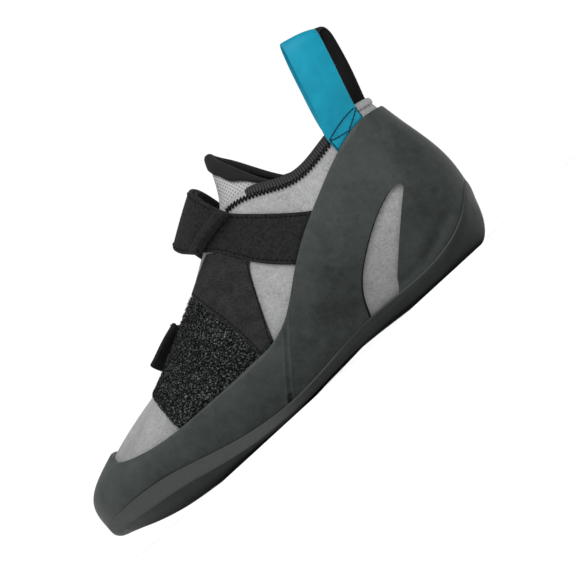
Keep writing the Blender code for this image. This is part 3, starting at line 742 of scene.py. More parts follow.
def rand_sections():
    rows = [np.linspace(s.first, s.last, s.sections, endpoint=False) for s in RAND_STRETCHES]
    u = at_row(np.concatenate(rows))[:, None]
    t = round_shoe("rand", u) * np.linspace(0, 1, RAND_ROWS)
    flat = skin(u, t, GAP + RAND)
    section = flat[:, :, [0, 2]]
    to_top = run_length(flat[:, ::-1], 1)[:, ::-1]
    thick = SKIVED + (RAND - SKIVED) * between(to_top, 0, SKIVE_RUN)
    seam = off_line(section, *SEAM)
    thick += WELT_HIGH * bell(seam - WELT_OFF, WELT_WIDE) - SEAM_DEEP * bell(seam, SEAM_WIDE)
    hollow = 0 * thick
    for c in CREASES:
        off = off_line(section, (c.x0, c.z0), (c.x1, c.z1))
        hollow = np.maximum(hollow, c.deep * bell(off, c.wide))
    thick -= np.where(flat[:, :, 1] > 0, hollow, 0)
    # Painted light: a mark, 1 at the rubber's top edge and 0 this far below it, that makes the colour
    # paler.
    painted_light = between(to_top, PAINTED_LIGHT_RUN, 0)
    return there_and_back(skin(u, t, GAP + thick), skin(u, t, GAP)), there_and_back(painted_light, 0 * painted_light)


sections, painted_light = rand_sections()
print("rand sections:", len(sections))

# %% Seam
SEAM_PARTING = 0.04


def part_at_seam(obj, keep_front):
    """Cut a closed mesh along the seam's plane and close the cut."""
    low, high = (np.array([s.x, 0, s.z], float) for s in SEAM)
    normal = unit(np.cross(high - low, (0, 1, 0)))
    normal *= np.sign(normal[0])
    side = 1 if keep_front else -1
    place = low + HEEL_TO_MIDDLE + normal * side * SEAM_PARTING / 2
    bm = bmesh.new()
    bm.from_mesh(obj.data)
    done = bmesh.ops.bisect_plane(
        bm, geom=bm.verts[:] + bm.edges[:] + bm.faces[:], plane_co=place * MM, plane_no=normal,
        clear_inner=keep_front, clear_outer=not keep_front,
    )
    cut_edges = [e for e in done["geom_cut"] if isinstance(e, bmesh.types.BMEdge)]
    bmesh.ops.edgeloop_fill(bm, edges=cut_edges)
    bmesh.ops.recalc_face_normals(bm, faces=bm.faces)
    bm.to_mesh(obj.data)
    bm.free()


rand_front = loft("front_rubber", sections, ring=True, marks={"painted_light": painted_light})
part_at_seam(rand_front, True)
rand_heel = loft("heel_rubber", sections, ring=True, marks={"painted_light": painted_light})
part_at_seam(rand_heel, False)
print("parted:", rand_front.name, rand_heel.name)

# %% Window outline
Window = namedtuple("Window", "x upper lower")
WINDOW = [
    Window(17.6, 47.4, 45.2), Window(21, 48.3, 41.4), Window(27, 47.2, 35.0),
    Window(37, 42.6, 25.0), Window(47.5, 36.0, 15.2), Window(52.5, 32.4, 2.0),
    Window(59, 27.2, 2.0), Window(65, 20.4, 2.0), Window(70.6, 10.0, 2.0),
]
# The lower edge runs down from the first rows; then the window goes on below the sole's edge.
LOWER_EDGE_ROWS, FOOT_ROW, FOOT_BACK = 5, 6, 0.6


def smooth_line(points, count):
    """Cubic through points, spaced by the distance between them."""
    points = np.asarray(points, float)
    knots = run_length(points)
    return cubic(knots, points, np.linspace(0, knots[-1], count))


def window_outline():
    over = smooth_line([(w.x, w.upper) for w in WINDOW], 48)
    under = smooth_line([(w.x, w.lower) for w in WINDOW[:LOWER_EDGE_ROWS]], 24)
    back, front = WINDOW[FOOT_ROW], WINDOW[-1]
    foot = [(front.x, front.lower), (back.x - FOOT_BACK, back.lower)]
    return np.concatenate([over, foot, under[::-1]])


print("window outline:", len(window_outline()), "points")

# %% Windows
# The knife leans: the cut opens towards the toe, so its wall shows there; that wall gets near-black
# rubber, a painted shade that draws it as a dark line.
CUT_REACH, CUT_LEVEL, CUT_SLANT = (17.0, 49.0), 29.0, 0.28
SHARP_FROM = math.radians(48)


def window_cutter(side):
    """Prism through the rubber, drawn on the long section."""
    x, z = window_outline().T
    ends = [np.stack([x + CUT_SLANT * (y - CUT_LEVEL), 0 * x + y * side, z], 1) for y in CUT_REACH]
    count = len(x)
    i = np.arange(count)
    k = np.roll(i, -1)
    faces = np.stack([i, k, k + count, i + count], 1).tolist()
    faces += [i.tolist(), (i + count)[::-1].tolist()]
    cutter = write_mesh("window_cutter", np.concatenate(ends), faces)
    # The cut wall takes over this near-black rubber: painted shade.
    cutter.data.materials.append(PAINTED_SHADE_CUT_RUBBER)
    return cutter


def cut_windows(obj):
    cutters = [window_cutter(1), window_cutter(-1)]
    for cutter in cutters:
        modifier = obj.modifiers.new("window", "BOOLEAN")
        modifier.operation = "DIFFERENCE"
        modifier.solver = "EXACT"
        modifier.material_mode = "TRANSFER"
        modifier.object = cutter
    graph = bpy.context.evaluated_depsgraph_get()
    made = bpy.data.meshes.new_from_object(obj.evaluated_get(graph))
    obj.modifiers.clear()
    obj.data = made
    for cutter in cutters:
        bpy.data.objects.remove(cutter, do_unlink=True)


rand_heel.data.materials.append(RAND_RUBBER)
cut_windows(rand_heel)
for strip, node in ((rand_front, "rand_front"), (rand_heel, "rand_heel")):
    strip.data.set_sharp_from_angle(angle=SHARP_FROM)
    dress(strip, "rand_rubber", [RAND_RUBBER], node)

# %% [markdown]
# ## Sole
# The sole is a shallow bowl of rubber. Its underside is level at the heel and the ball, arched between
# them and sprung at the toe; its side stands a little outside the rand, which makes the
# ridge that runs round the shoe. It is built as rings from the middle of the underside, round the
# corner, up the side and back in under the foot. The ground side is marked for the finish.

# %% Sole outline
LIP, LEAST_LIP = 1.0, 0.05
LIP_FROM_HEEL, LIP_FROM_TOE = (-2, 14), (250, 220)
WAIST_X, WAIST_RUN, WAIST_SOFT = 82.0, 14.0, 0.75
SOLE_CORE, SOLE_SHELF, SHELF_IN = 0.62, 0.86, 1.0
SOLE_AXIS_X, SOLE_AXIS_Y = (40, 182), -1.5
SOLE_U = np.concatenate([
    np.linspace(0, KNOTS[TOE_TIP], 180, endpoint=False),
    np.linspace(KNOTS[TOE_TIP], 1, 180, endpoint=False),
])
SOLE_EDGE_Z = loop_curve(FOOT, SOLE_U)[:, 2]


def wall_foot(lift=0.0):
    """Line round the shoe where the wall stands on the sole, moved out."""
    return skin(SOLE_U, 0 * SOLE_U, lift)


def sole_lip():
    """Least at the toe's tip, the back of the heel and the waist, where the outline runs on smoothly."""
    x = wall_foot()[:, 0]
    waist = 1 - WAIST_SOFT * bell(x - WAIST_X, WAIST_RUN)
    return LEAST_LIP + (LIP - LEAST_LIP) * between(x, *LIP_FROM_HEEL) * between(x, *LIP_FROM_TOE) * waist


def sole_plan(r):
    """Outline of the sole drawn in: its shelf under the wall first, then towards its middle."""
    edge = wall_foot(GAP + RAND + sole_lip())[:, :2]
    shelf = wall_foot(-WALL - SHELF_IN)[:, :2]
    if r >= SOLE_SHELF:
        return shelf + (edge - shelf) * (r - SOLE_SHELF) / (1 - SOLE_SHELF)
    centre = np.stack([np.clip(edge[:, 0], *SOLE_AXIS_X), 0 * SOLE_U + SOLE_AXIS_Y], 1)
    return centre + (shelf - centre) * r / SOLE_SHELF


print("sole's widest:", round(float(np.ptp(sole_plan(1.0)[:, 1])), 1), "mm")

# %% Sole faces
SOLE_MIDDLE = 4.5
BOWL_CURVE = 1.5
KEEL_TURNS = 30
Keel = namedtuple("Keel", "place x z")
KEEL = [
    Keel("heel_end", 0, 0), Keel("heel_front", 58, 0), Keel("arch_rear", 78, 1.8),
    Keel("arch", 96, 2.6), Keel("arch_front", 114, 1.8), Keel("ball_rear", 134, 0),
    Keel("ball_front", 184, 0), Keel("toe_base", 206, 2.0), Keel("toe_pad", 228, 6.2),
    Keel("toe_end", 258, 14.5),
]


def keel(x):
    """Height of the underside's middle line, smoothed but kept level at heel and ball."""
    fine = np.linspace(KEEL[0].x, KEEL[-1].x, 261)
    z = np.interp(fine, [k.x for k in KEEL], [k.z for k in KEEL])
    level = z == 0
    for _ in range(KEEL_TURNS):
        z = np.convolve(np.pad(z, 2, mode="edge"), np.full(5, .2), mode="valid")
        z[level] = 0
    return np.interp(x, fine, z)


def sole_ring(r, middle_above, edge_z, part, above):
    plan = sole_plan(r)
    middle = keel(plan[:, 0]) + middle_above
    return np.column_stack([plan, middle + (edge_z - middle) * part + above])


def under_sole(r, raised=0.0):
    part = ((r - SOLE_CORE) / (1 - SOLE_CORE)) ** 2
    return sole_ring(r, 0.0, SOLE_EDGE_Z - GAP - round_shoe("edge", SOLE_U), part, raised)


def over_sole(r, above=0.0):
    part = np.clip((r - SOLE_CORE) / (SOLE_SHELF - SOLE_CORE), 0, 1) ** BOWL_CURVE
    return sole_ring(r, SOLE_MIDDLE, SOLE_EDGE_Z - GAP, part, above)


print("arch:", keel(np.array([96.0])).round(1), "mm")

# %% Sole
# How far in the sole's lower corner starts, and how high it is: along the sides, then at heel and toe.
CORNER_FROM, CORNER = 0.925, 2.0
ROUND_CORNER_FROM, ROUND_CORNER = 0.865, 4.4
ROUND_AT_HEEL, ROUND_AT_TOE = (70, 30), (215, 247)
# Below its upper edge the heel's sole tucks in, as the rubber above it does: so much a millimetre.
HEEL_TUCK, HEEL_TUCK_DEEP, HEEL_TUCK_X = 0.15, 7.0, (34, 10)
# The bead along the upper edge, as height and as the share of the lip that it draws in.
BEAD = ((.45, .02), (.95, .16), (1.2, .42), (1.05, .7), (.6, .9))
BEAD_IN, BEAD_BUFFED = 0.12, 0.75
GROUND_FROM_RING, GROUND_X = 19, (112, 146)
# Painted light on the sole: paler at the back of the heel and towards its top.
HEEL_PAINTED_LIGHT, HEEL_PAINTED_LIGHT_X, HEEL_PAINTED_LIGHT_Z = 2.0, (18, 0), (9, 21)
BOWL_FROM = 0.972


def wall_share(mm):
    """Share of the wall's height that is this many millimetres above the sole."""
    wall = np.array([wall_point(SOLE_U, 0 * SOLE_U + k) for k in np.linspace(0, 1, 9)])
    return mm / run_length(wall)[-1]


def tuck_heel(rings):
    below = np.clip(SOLE_EDGE_Z - rings[:, :, 2], 0, HEEL_TUCK_DEEP)
    near = between(rings[:, :, 0], *HEEL_TUCK_X)
    return rings + (HEEL_TUCK * below * near)[:, :, None] * (wall_foot() - wall_foot(1.0))


def underside(begin, high):
    """Rings from the middle of the underside to its edge, the last of them round the lower corner."""
    rings = [under_sole(r) for r in np.linspace(SOLE_CORE, begin - .005, 13)]
    for turn in np.radians(np.linspace(12, 90, 9)):
        rings.append(under_sole(begin + (1 - begin) * np.sin(turn), high * (1 - np.cos(turn))))
    return np.array(rings)


def sole_rings():
    x = sole_plan(1.0)[:, 0]
    rounder = np.maximum(between(x, *ROUND_AT_HEEL), between(x, *ROUND_AT_TOE))[:, None]
    plain = underside(CORNER_FROM, CORNER)
    rings = list(plain + (underside(ROUND_CORNER_FROM, ROUND_CORNER) - plain) * rounder)
    lip = sole_lip()
    outer = GAP + RAND + lip
    low, high = rings[-1], wall_foot(outer)
    rings += [low + (high - low) * s for s in np.linspace(0, 1, 8)[1:]]
    bead = len(rings)
    rings += [skin(SOLE_U, wall_share(up), outer - inward * (lip + BEAD_IN)) for up, inward in BEAD]
    side_end = len(rings)
    rings += [over_sole(r) for r in np.linspace(BOWL_FROM, SOLE_CORE, 16)]
    rings = np.array(rings)
    rings[:side_end] = tuck_heel(rings[:side_end])
    ground = np.zeros(rings.shape[:2])
    ground[GROUND_FROM_RING:side_end] = between(rings[GROUND_FROM_RING:side_end, :, 0], *GROUND_X)
    ground[bead:side_end] = np.maximum(ground[bead:side_end], BEAD_BUFFED * lip / LIP)
    # The sole's painted-light mark, paler at the heel's back and higher up.
    painted_light = HEEL_PAINTED_LIGHT * between(rings[:, :, 0], *HEEL_PAINTED_LIGHT_X) * between(rings[:, :, 2], *HEEL_PAINTED_LIGHT_Z)
    return rings, ground, painted_light


rings, ground, painted_light = sole_rings()
outsole = loft("sole_bowl", rings, marks={"ground": ground, "painted_light": painted_light})
dress(outsole, "sole_rubber", [SOLE_RUBBER], "outsole")

# %% [markdown]
# ## Insole
# The footbed is a thin, firm board with a cloth cover. It lies in the sole's bowl and is seen only from
# above, through the collar. It could be cut from the solid, but with the bowl's own rings it can't cut
# into the bowl.

# %% Insole
INSOLE = 2.2
BOWL_EDGE = 0.78


def insole_rings():
    reach = np.linspace(SOLE_CORE, BOWL_EDGE, 8)
    rings = [over_sole(r, GAP) for r in reach]
    rings += [over_sole(BOWL_EDGE, GAP + INSOLE * f) for f in (.3, .7)]
    rings += [over_sole(r, GAP + INSOLE) for r in reach[::-1]]
    return np.array(rings)


insole = loft("footbed_board", insole_rings())
dress(insole, "footbed", [FOOTBED], "insole")

# %% [markdown]
# ## Laying cloth on the foot
# Straps and patches are flat strips until they are pulled over the instep. A strip is given by its two
# edges at a few angles round the foot, and a ray from each point towards the foot's axis finds
# the wall under it. Over the throat there is no wall, so a crowned bridge stands in for the foot.
# A cloth simulation would need pins and many frames to give the same lie.

# %% Bridge over the throat
RIM_STEPS = 200
LATERAL_RIM, MEDIAL_RIM, VAMP_RIM = (3, TOE_TIP), (TOE_TIP, 15.4), (8, 10)
NEAR_RIM, THROAT_CROWN = 0.97, 0.3


def rim_x(rows):
    u = at_row(np.linspace(*rows, RIM_STEPS))
    return u, skin(u, np.ones_like(u))[:, 0]


def bridge(x, f):
    """Crowned span over the throat at this x, from lateral rim (0) to medial rim (1)."""
    ends, ways = [], []
    for rows in (LATERAL_RIM, MEDIAL_RIM):
        u, xs = rim_x(rows)
        order = np.argsort(xs)
        u = np.interp(x, xs[order], u[order])
        ends.append(skin(u, np.ones_like(x)))
        ways.append(unit(ends[-1] - skin(u, 0 * x + NEAR_RIM)))
    width = np.linalg.norm(ends[1] - ends[0], axis=1)[:, None]
    crowns = [end + way * width * THROAT_CROWN for end, way in zip(ends, ways)]
    q = 1 - f
    sides = ends[0] * q ** 3 + ends[1] * f ** 3
    return sides + crowns[0] * 3 * q * q * f + crowns[1] * 3 * q * f * f


vamp_end = rim_x(VAMP_RIM)[1].max()
print("throat ends at x", round(vamp_end), "mm")

# %% Finding the foot
DRAPE_AXIS_Z = 35
DRAPE_REACH = 160
TREE_AROUND, TREE_UP, TREE_OVER = 360, 60, 25
BRIDGE_FROM = 60
# Where a ray slips between two faces, it is sent again from a little beside.
ASIDES = (0, -.5, .5, -1, 1, -2, 2)


def grid_faces(index):
    return np.stack([index[:-1, :-1], index[1:, :-1], index[1:, 1:], index[:-1, 1:]], -1).reshape(-1, 4)


def drape_tree():
    u = np.linspace(0, 1, TREE_AROUND, endpoint=False)[:, None]
    wall = skin(u, np.linspace(0, 1, TREE_UP))
    x = np.linspace(BRIDGE_FROM, vamp_end - .01, 120)
    spans = np.stack([bridge(x, f) for f in np.linspace(0, 1, TREE_OVER)], 1)
    index = np.arange(TREE_AROUND * TREE_UP).reshape(TREE_AROUND, TREE_UP)
    over = index.size + np.arange(len(x) * TREE_OVER).reshape(len(x), TREE_OVER)
    faces = np.concatenate([grid_faces(np.vstack([index, index[:1]])), grid_faces(over)])
    points = np.concatenate([wall.reshape(-1, 3), spans.reshape(-1, 3)])
    return BVHTree.FromPolygons(points.tolist(), faces.tolist())


TREE = drape_tree()


def drape(x, angle, bow):
    """Points over the foot at these places along and angles round it, bowed away from its axis."""
    found = np.zeros(x.shape + (3,))
    rays = np.stack([0 * angle, np.sin(np.radians(angle)), np.cos(np.radians(angle))], -1)
    for i in np.ndindex(x.shape):
        ray = Vector(rays[i])
        for aside in ASIDES:
            axis = Vector((x[i] + aside, 0, DRAPE_AXIS_Z))
            hit = TREE.ray_cast(axis + ray * DRAPE_REACH, -ray)[0]
            if hit is not None:
                break
        found[i] = hit
    return found + rays * np.asarray(bow)[..., None], rays


print("over the instep:", drape(np.array([120.0]), np.zeros(1), np.zeros(1))[0][0].round(1), "mm")

# %% Rubber's upper edge
EDGE_CLEAR = 0.30
LATERAL_ROWS, MEDIAL_ROWS = (1.2, 8), (10.5, 16.5)


def rand_limit(rows):
    """Rubber's top edge on one side, as pairs of x and angle."""
    u = np.mod(at_row(np.linspace(*rows, 160)), 1.0)
    p = skin(u, round_shoe("rand", u), GAP + RAND / 2)
    angle = np.degrees(np.arctan2(p[:, 1], p[:, 2] - DRAPE_AXIS_Z))
    order = np.argsort(p[:, 0])
    return p[order, 0], angle[order]


LATERAL_LIMIT = rand_limit(LATERAL_ROWS)
MEDIAL_LIMIT = rand_limit(MEDIAL_ROWS)


def beside_lateral_rubber(x):
    return np.interp(x, *LATERAL_LIMIT) - EDGE_CLEAR


def beside_medial_rubber(x):
    return np.interp(x, *MEDIAL_LIMIT) + EDGE_CLEAR


print("lateral rubber edge at x 100:", round(float(np.interp(100, *LATERAL_LIMIT)), 1), "degrees")

# %% Measuring a sheet
PRESS_RUN = 2.5
PRESS = 0.45
EVEN_TURNS = 40
Cloth = namedtuple("Cloth", "points normals along across edge pressed")


def measure(points, outward, free_start=True, free_end=True):
    """Normals of a laid sheet, and how far each point is along, across and from its free edges.

    An end that isn't free is pressed thin, as cloth is where rubber holds it down.
    """
    normal = unit(np.cross(np.gradient(points, axis=0), np.gradient(points, axis=1)))
    normal *= np.sign((normal * outward).sum(2))[:, :, None]
    along, across = run_length(points, 0), run_length(points, 1)
    edge = np.minimum(across, across[:, -1:] - across)
    pressed = np.ones_like(edge)
    for ends, free in ((along, free_start), (along[-1:] - along, free_end)):
        if free:
            edge = np.minimum(edge, ends)
        else:
            pressed = np.minimum(pressed, PRESS + (1 - PRESS) * between(ends, 0, PRESS_RUN))
    return Cloth(points, normal, along, across, edge, pressed)


def evened(cloth):
    """Directions averaged with their neighbours, so that a lifted sheet doesn't show the wall's facets."""
    normals = cloth.normals
    for _ in range(EVEN_TURNS):
        wide = np.pad(normals, ((1, 1), (1, 1), (0, 0)), mode="edge")
        beside = wide[:-2, 1:-1] + wide[2:, 1:-1] + wide[1:-1, :-2] + wide[1:-1, 2:]
        normals = (normals + beside) / 5
    return cloth._replace(normals=unit(normals))


print("cloth at a held end:", PRESS, "of its thickness")

# %% Laying a sheet
FINE_PER_COURSE = 50
ROW_PULL = 0.7
Course = namedtuple("Course", "angle front rear lift bow")


def even_curve(values, at):
    """Open curve through evenly spaced rows."""
    return cubic(np.arange(len(values)), values, at)


def crowded_ends(count, pull=0.86):
    """From 0 to 1 in steps that close up towards both ends, for round edges."""
    p = np.linspace(0, 1, count)
    return p - np.sin(2 * np.pi * p) / (2 * np.pi) * pull


def crossing(s, spare):
    """Where each column's spare angle first becomes positive."""
    i = np.argmax(spare >= 0, axis=0)
    j = np.arange(spare.shape[1])
    before = np.maximum(i - 1, 0)
    low, high = spare[before, j], spare[i, j]
    part = np.where(i > 0, -low / np.where(high == low, 1, high - low), 0)
    return s[before] + (s[i] - s[before]) * np.clip(part, 0, 1)


def lay(courses, across, rows, start=None, end=None):
    """Sheet over the foot through its courses; a start or end limit trims it there, edge to edge."""
    values = np.array(courses, float)
    last = len(values) - 1
    s = np.linspace(0, last, FINE_PER_COURSE * last + 1)
    fine = even_curve(values, s)
    part = crowded_ends(across + 1)
    x = fine[:, 1:2] + (fine[:, 2:3] - fine[:, 1:2]) * part
    first, final = 0 * part, 0 * part + last
    if start:
        first = crossing(s, start(x) - fine[:, :1])
    if end:
        final = last - crossing(s, (fine[:, :1] - end(x))[::-1])
    place = first + (final - first) * crowded_ends(rows, ROW_PULL)[:, None]
    angle, front, rear, lift, bow = np.moveaxis(
        even_curve(values, place.ravel()).reshape(place.shape + (5,)), -1, 0)
    points, rays = drape(front + (rear - front) * part, angle, bow)
    lifted = points + evened(measure(points, rays)).normals * lift[..., None]
    return evened(measure(lifted, rays, not start, not end))


def round_edge(edge, radius):
    return np.sqrt(1 - (1 - np.clip(edge / radius, 0, 1)) ** 2) * 0.9 + 0.1


def two_faced(name, cloth, top, under, marks=None):
    plan = np.stack([cloth.along, cloth.across], -1)
    return loft(name, there_and_back(top, under), cloth=there_and_back(plan, plan), marks=marks)


def sheet_body(name, cloth, base, thick, radius, swell=0.0):
    """Closed sheet with round edges, lying base millimetres above what it was laid on."""
    full = thick * round_edge(cloth.edge, radius) * cloth.pressed
    middle = base + thick * cloth.pressed / 2
    top = cloth.points + cloth.normals * (middle + full / 2 + swell)[..., None]
    under = cloth.points + cloth.normals * (middle - full / 2)[..., None]
    return two_faced(name, cloth, top, under), top


print("steps across a strip:", crowded_ends(6).round(2))

# %% [markdown]
# ## Stitches
# A seam is a row of single stitches, each a short thread that dips into the cloth at both ends. A bump
# texture can suggest them, but it vanishes at the outline, so they are real
# threads. A line is walked at even steps, and each step gets one small arch.

# %% Stitch tools
STITCH_PARTS = 8
STITCH_STEP, STITCH_SHARE, STITCH_RADIUS = 2.5, 0.72, 0.34
STITCH_RISE, STITCH_DIP = 1.15, 0.55
THREAD_POINTS = np.linspace(0, 1, 5)


def follow(at, run, values):
    """Values at these distances along a line."""
    return np.stack([np.interp(at, run, values[:, k]) for k in range(3)], -1)


def stitch_paths(line, normal, step=STITCH_STEP, share=STITCH_SHARE, radius=STITCH_RADIUS):
    """Arched stitches along a line that lies on the cloth."""
    run = run_length(line)
    at = np.arange(0, run[-1], step / STITCH_PARTS)
    fine = follow(at, run, line)
    facing = unit(follow(at, run, normal))
    used = int(round(STITCH_PARTS * share))
    place = THREAD_POINTS * used
    i = np.clip(place.astype(int), 0, used - 1)
    height = radius * (STITCH_RISE * np.sin(np.pi * THREAD_POINTS) - STITCH_DIP)
    paths = []
    for k in range(0, len(fine) - STITCH_PARTS + 1, STITCH_PARTS):
        point = fine[k + i] + (fine[k + i + 1] - fine[k + i]) * (place - i)[:, None]
        paths.append((point + facing[k + i] * height[:, None], facing[k + i]))
    return paths


def sew(name, paths, radius, finish, slot):
    lines = np.array([p for p, _ in paths])
    facing = np.array([f for _, f in paths])
    return dress(tubes(name, lines, facing, radius), slot, [finish])


def edge_line(cloth, top, off, which, begin=0.0):
    """Line on a sheet's top face at this distance from one of its long edges, past its first end."""
    line, facing = [], []
    for i in np.flatnonzero(cloth.along.mean(1) >= begin):
        from_edge = cloth.across[i] if which == "front" else cloth.across[i, -1] - cloth.across[i]
        order = np.argsort(from_edge)
        line.append(follow(off, from_edge[order], top[i, order]))
        facing.append(follow(off, from_edge[order], cloth.normals[i, order]))
    return np.array(line), np.array(facing)


print("a stitch each", STITCH_STEP, "mm")

# %% [markdown]
# ## Instep panel and landing patch
# On the outer side of the instep a black panel reinforces the throat. In front of it sits the patch that
# the front strap closes on: a thick cloth covered in tiny loops. The loops are real arcs of thread,
# because their fuzz is what breaks the patch's outline and its light.

# %% Instep panel
OVERLAY, OVERLAY_ROUND = 1.0, 0.6
BASE_STRAP = [
    Course(64, 78.5, 22.0, 0, 0), Course(54, 87.0, 37.0, 0, 0), Course(41, 97.2, 56.5, 0, 0),
    Course(30, 104.6, 73.1, 0, 0), Course(20, 113.5, 89.8, .4, .5),
    Course(13, 120.5, 96.5, .8, 4.6), Course(5, 124.5, 99.5, 1.2, 11.5),
    Course(-5, 126.0, 100.5, 1.2, 11.5), Course(-14, 126.5, 101.0, .8, 5.5),
    Course(-23, 126.5, 101.0, .3, 1), Course(-38, 127.0, 101.5, 0, 0),
    Course(-55, 128.0, 102.5, 0, 0), Course(-72, 129.1, 103.6, 0, 0), Course(-90, 130.4, 104.9, 0, 0),
]
LEG = [
    Course(94, 122.78, 113.2, 0, 0), Course(67, 124.45, 106.6, 0, 0),
    Course(44.5, 128.95, 99.8, 0, 0), Course(40, 129.95, 96.5, 0, 0),
    Course(30, 132.25, 99.0, 0, 0), Course(19, 134.8, 108.0, 0, 0),
]
BAND_CLEAR = 0.35


def beside_band(x):
    """Angle just below the upper band's front edge at this place along the shoe."""
    band = even_curve(np.array(BASE_STRAP, float), np.linspace(0, 4, 80))
    return np.interp(x, band[:, 1], band[:, 0]) + BAND_CLEAR


leg_cloth = lay(LEG, 36, 110, beside_lateral_rubber, beside_band)
instep_panel, leg_top = sheet_body("instep_cloth", leg_cloth, GAP, OVERLAY, OVERLAY_ROUND)
dress(instep_panel, "microfibre", [MICROFIBRE], "instep_panel")

# %% Landing patch
PATCH, PATCH_ROUND = 1.3, 0.8
LOOP_PATCH = [
    Course(94, 176.0, 122.9, 0, 0), Course(70, 179.0, 124.1, 0, 0),
    Course(44, 183.0, 129.2, 0, 0), Course(24, 184.6, 133.8, 0, 0),
]
patch_cloth = lay(LOOP_PATCH, 60, 80, beside_lateral_rubber)
loop_patch, patch_top = sheet_body("patch_backing", patch_cloth, GAP, PATCH, PATCH_ROUND)
dress(loop_patch, "loop_pile", [PILE], "loop_patch")

# %% Loop pile
PILE_LOOPS = 7400
PILE_RADIUS = 0.09
PILE_LEAN, PILE_SPAN, PILE_HIGH, PILE_ROOT = 0.35, (.6, 1.3), (.4, .95), 0.12
pile_draw = np.random.default_rng(11)


def pile_paths(cloth, top, count):
    """Small arcs of thread standing on the patch, leaning every way."""
    area = np.linalg.norm(np.cross(
        top[1:, :-1] - top[:-1, :-1], top[:-1, 1:] - top[:-1, :-1]), axis=2)
    chance = (area / area.sum()).ravel()
    cell = pile_draw.choice(len(chance), count, p=chance)
    i, j = np.unravel_index(cell, area.shape)
    a, b = pile_draw.random((2, count, 1))
    foot = (
        top[i, j] * (1 - a) * (1 - b) + top[i + 1, j] * a * (1 - b)
        + top[i, j + 1] * (1 - a) * b + top[i + 1, j + 1] * a * b
    )
    normal = cloth.normals[i, j]
    heading = pile_draw.normal(size=(count, 3))
    heading = unit(heading - normal * (heading * normal).sum(1)[:, None])
    lean = np.cross(normal, heading) * pile_draw.normal(0, PILE_LEAN, (count, 1))
    span = pile_draw.uniform(*PILE_SPAN, (count, 1))
    high = pile_draw.uniform(*PILE_HIGH, (count, 1))
    s = THREAD_POINTS[None, :, None]
    path = (
        foot[:, None] + heading[:, None] * (s - .5) * span[:, None]
        + (normal + lean)[:, None] * (np.sin(np.pi * s) * high[:, None] - PILE_ROOT)
    )
    return path, np.broadcast_to(np.cross(heading, normal)[:, None], path.shape)


paths, across = pile_paths(patch_cloth, patch_top, PILE_LOOPS)
dress(tubes("patch_pile", paths, across, PILE_RADIUS, 3), "loop_pile", [PILE])

# %% [markdown]
# ## Straps
# The closure is a band that starts as a wing on the outer side and crosses to the inner side, a second
# layer that comes back over it, and a front strap whose end stands off the patch. Each is a strip of
# twill with rounded edges and a row of stitches near each edge.

# %% Strap tables
END_STRAP = [
    Course(20.5, 114.2, 89.4, 3.0, .5), Course(16, 118.6, 93.6, 3.3, 2.9),
    Course(11, 122.6, 97.0, 3.6, 7.0), Course(5, 125.5, 99.3, 3.5, 11.5),
    Course(-5, 126.6, 100.3, 3.4, 11.5), Course(-14, 127.0, 100.9, 3.0, 5.5),
    Course(-23, 127.0, 101.0, 2.6, 1), Course(-40, 127.5, 101.9, 2.2, 0),
    Course(-50, 128.2, 102.6, 2.2, 0),
]
FRONT_STRAP = [
    Course(30, 173.0, 147.0, 3.9, 0), Course(24, 174.5, 148.8, 3.5, 0),
    Course(14, 176.0, 150.5, 3.0, 0), Course(4, 176.5, 151.0, 2.4, 0),
    Course(-8, 176.5, 151.5, 1.8, 0), Course(-20, 177.0, 152.0, 1.0, 0),
    Course(-34, 178.0, 153.0, .4, 0), Course(-55, 180.0, 155.0, .1, 0),
    Course(-76, 182.0, 157.0, .1, 0), Course(-98, 184.2, 159.2, 0, 0),
]
print("strap courses:", len(BASE_STRAP), len(END_STRAP), len(FRONT_STRAP))

# %% Straps
BAND = 1.6
STRAP = 2.0
STRAP_ROUND = 0.95
STRAP_ACROSS = 34
# The return layer's end is folded under once, which makes a soft bar across it.
HEM_HALF, HEM_HIGH, HEM_ROUND, HEM_PAST = 3.5, 3.0, 1.5, 2.4
# The front strap's end curls off the patch, most at its toe-side corner.
CURL_HIGH, CURL_RUN = 4.0, 15.0
STITCH_OFF, LEG_STITCH_OFF = 2.0, 1.6
seams = []


def add_seams(cloth, top, off, begin=0.0):
    for which in ("front", "rear"):
        seams.extend(stitch_paths(*edge_line(cloth, top, off, which, begin)))


def add_strap(name, courses, rows, thick, start=None, end=None, hem=False, curl=False):
    cloth = lay(courses, STRAP_ACROSS, rows, start, end)
    if curl:
        toe_side = 1 - cloth.across / cloth.across[:, -1:]
        lift = CURL_HIGH * toe_side * between(cloth.along, CURL_RUN, 0)
        curled = cloth.points + cloth.normals * lift[..., None]
        cloth = evened(measure(curled, cloth.normals, not start, not end))
    swell = 0.0
    if hem:
        roll = np.clip(1 - ((cloth.along - HEM_HALF) / HEM_HALF) ** 2, 0, 1)
        swell = HEM_HIGH * np.sqrt(roll) * between(cloth.edge, 0, HEM_ROUND)
    strap, top = sheet_body(name + "_cloth", cloth, GAP, thick, STRAP_ROUND, swell)
    dress(strap, "microfibre", [STRAP_TWILL], name)
    add_seams(cloth, top, STITCH_OFF, HEM_PAST * HEM_HALF if hem else STITCH_OFF)


add_strap("strap_upper_base", BASE_STRAP, 260, BAND, beside_lateral_rubber, beside_medial_rubber)
add_strap("strap_upper", END_STRAP, 180, STRAP, hem=True)
add_strap("strap_front", FRONT_STRAP, 140, STRAP, end=beside_medial_rubber, curl=True)
add_seams(leg_cloth, leg_top, LEG_STITCH_OFF)
sew("strap_stitches", seams, STITCH_RADIUS, THREAD_BLACK, "microfibre")

# %% [markdown]
# ## Tongue
# The tongue lies under the throat's edges and rises free above the collar, where its black tip folds a
# little outwards. Its lower rows are found by draping under the wall; the free rows above are given
# by their middle, half-way and edge points. The mark tells the finish where the tip begins.

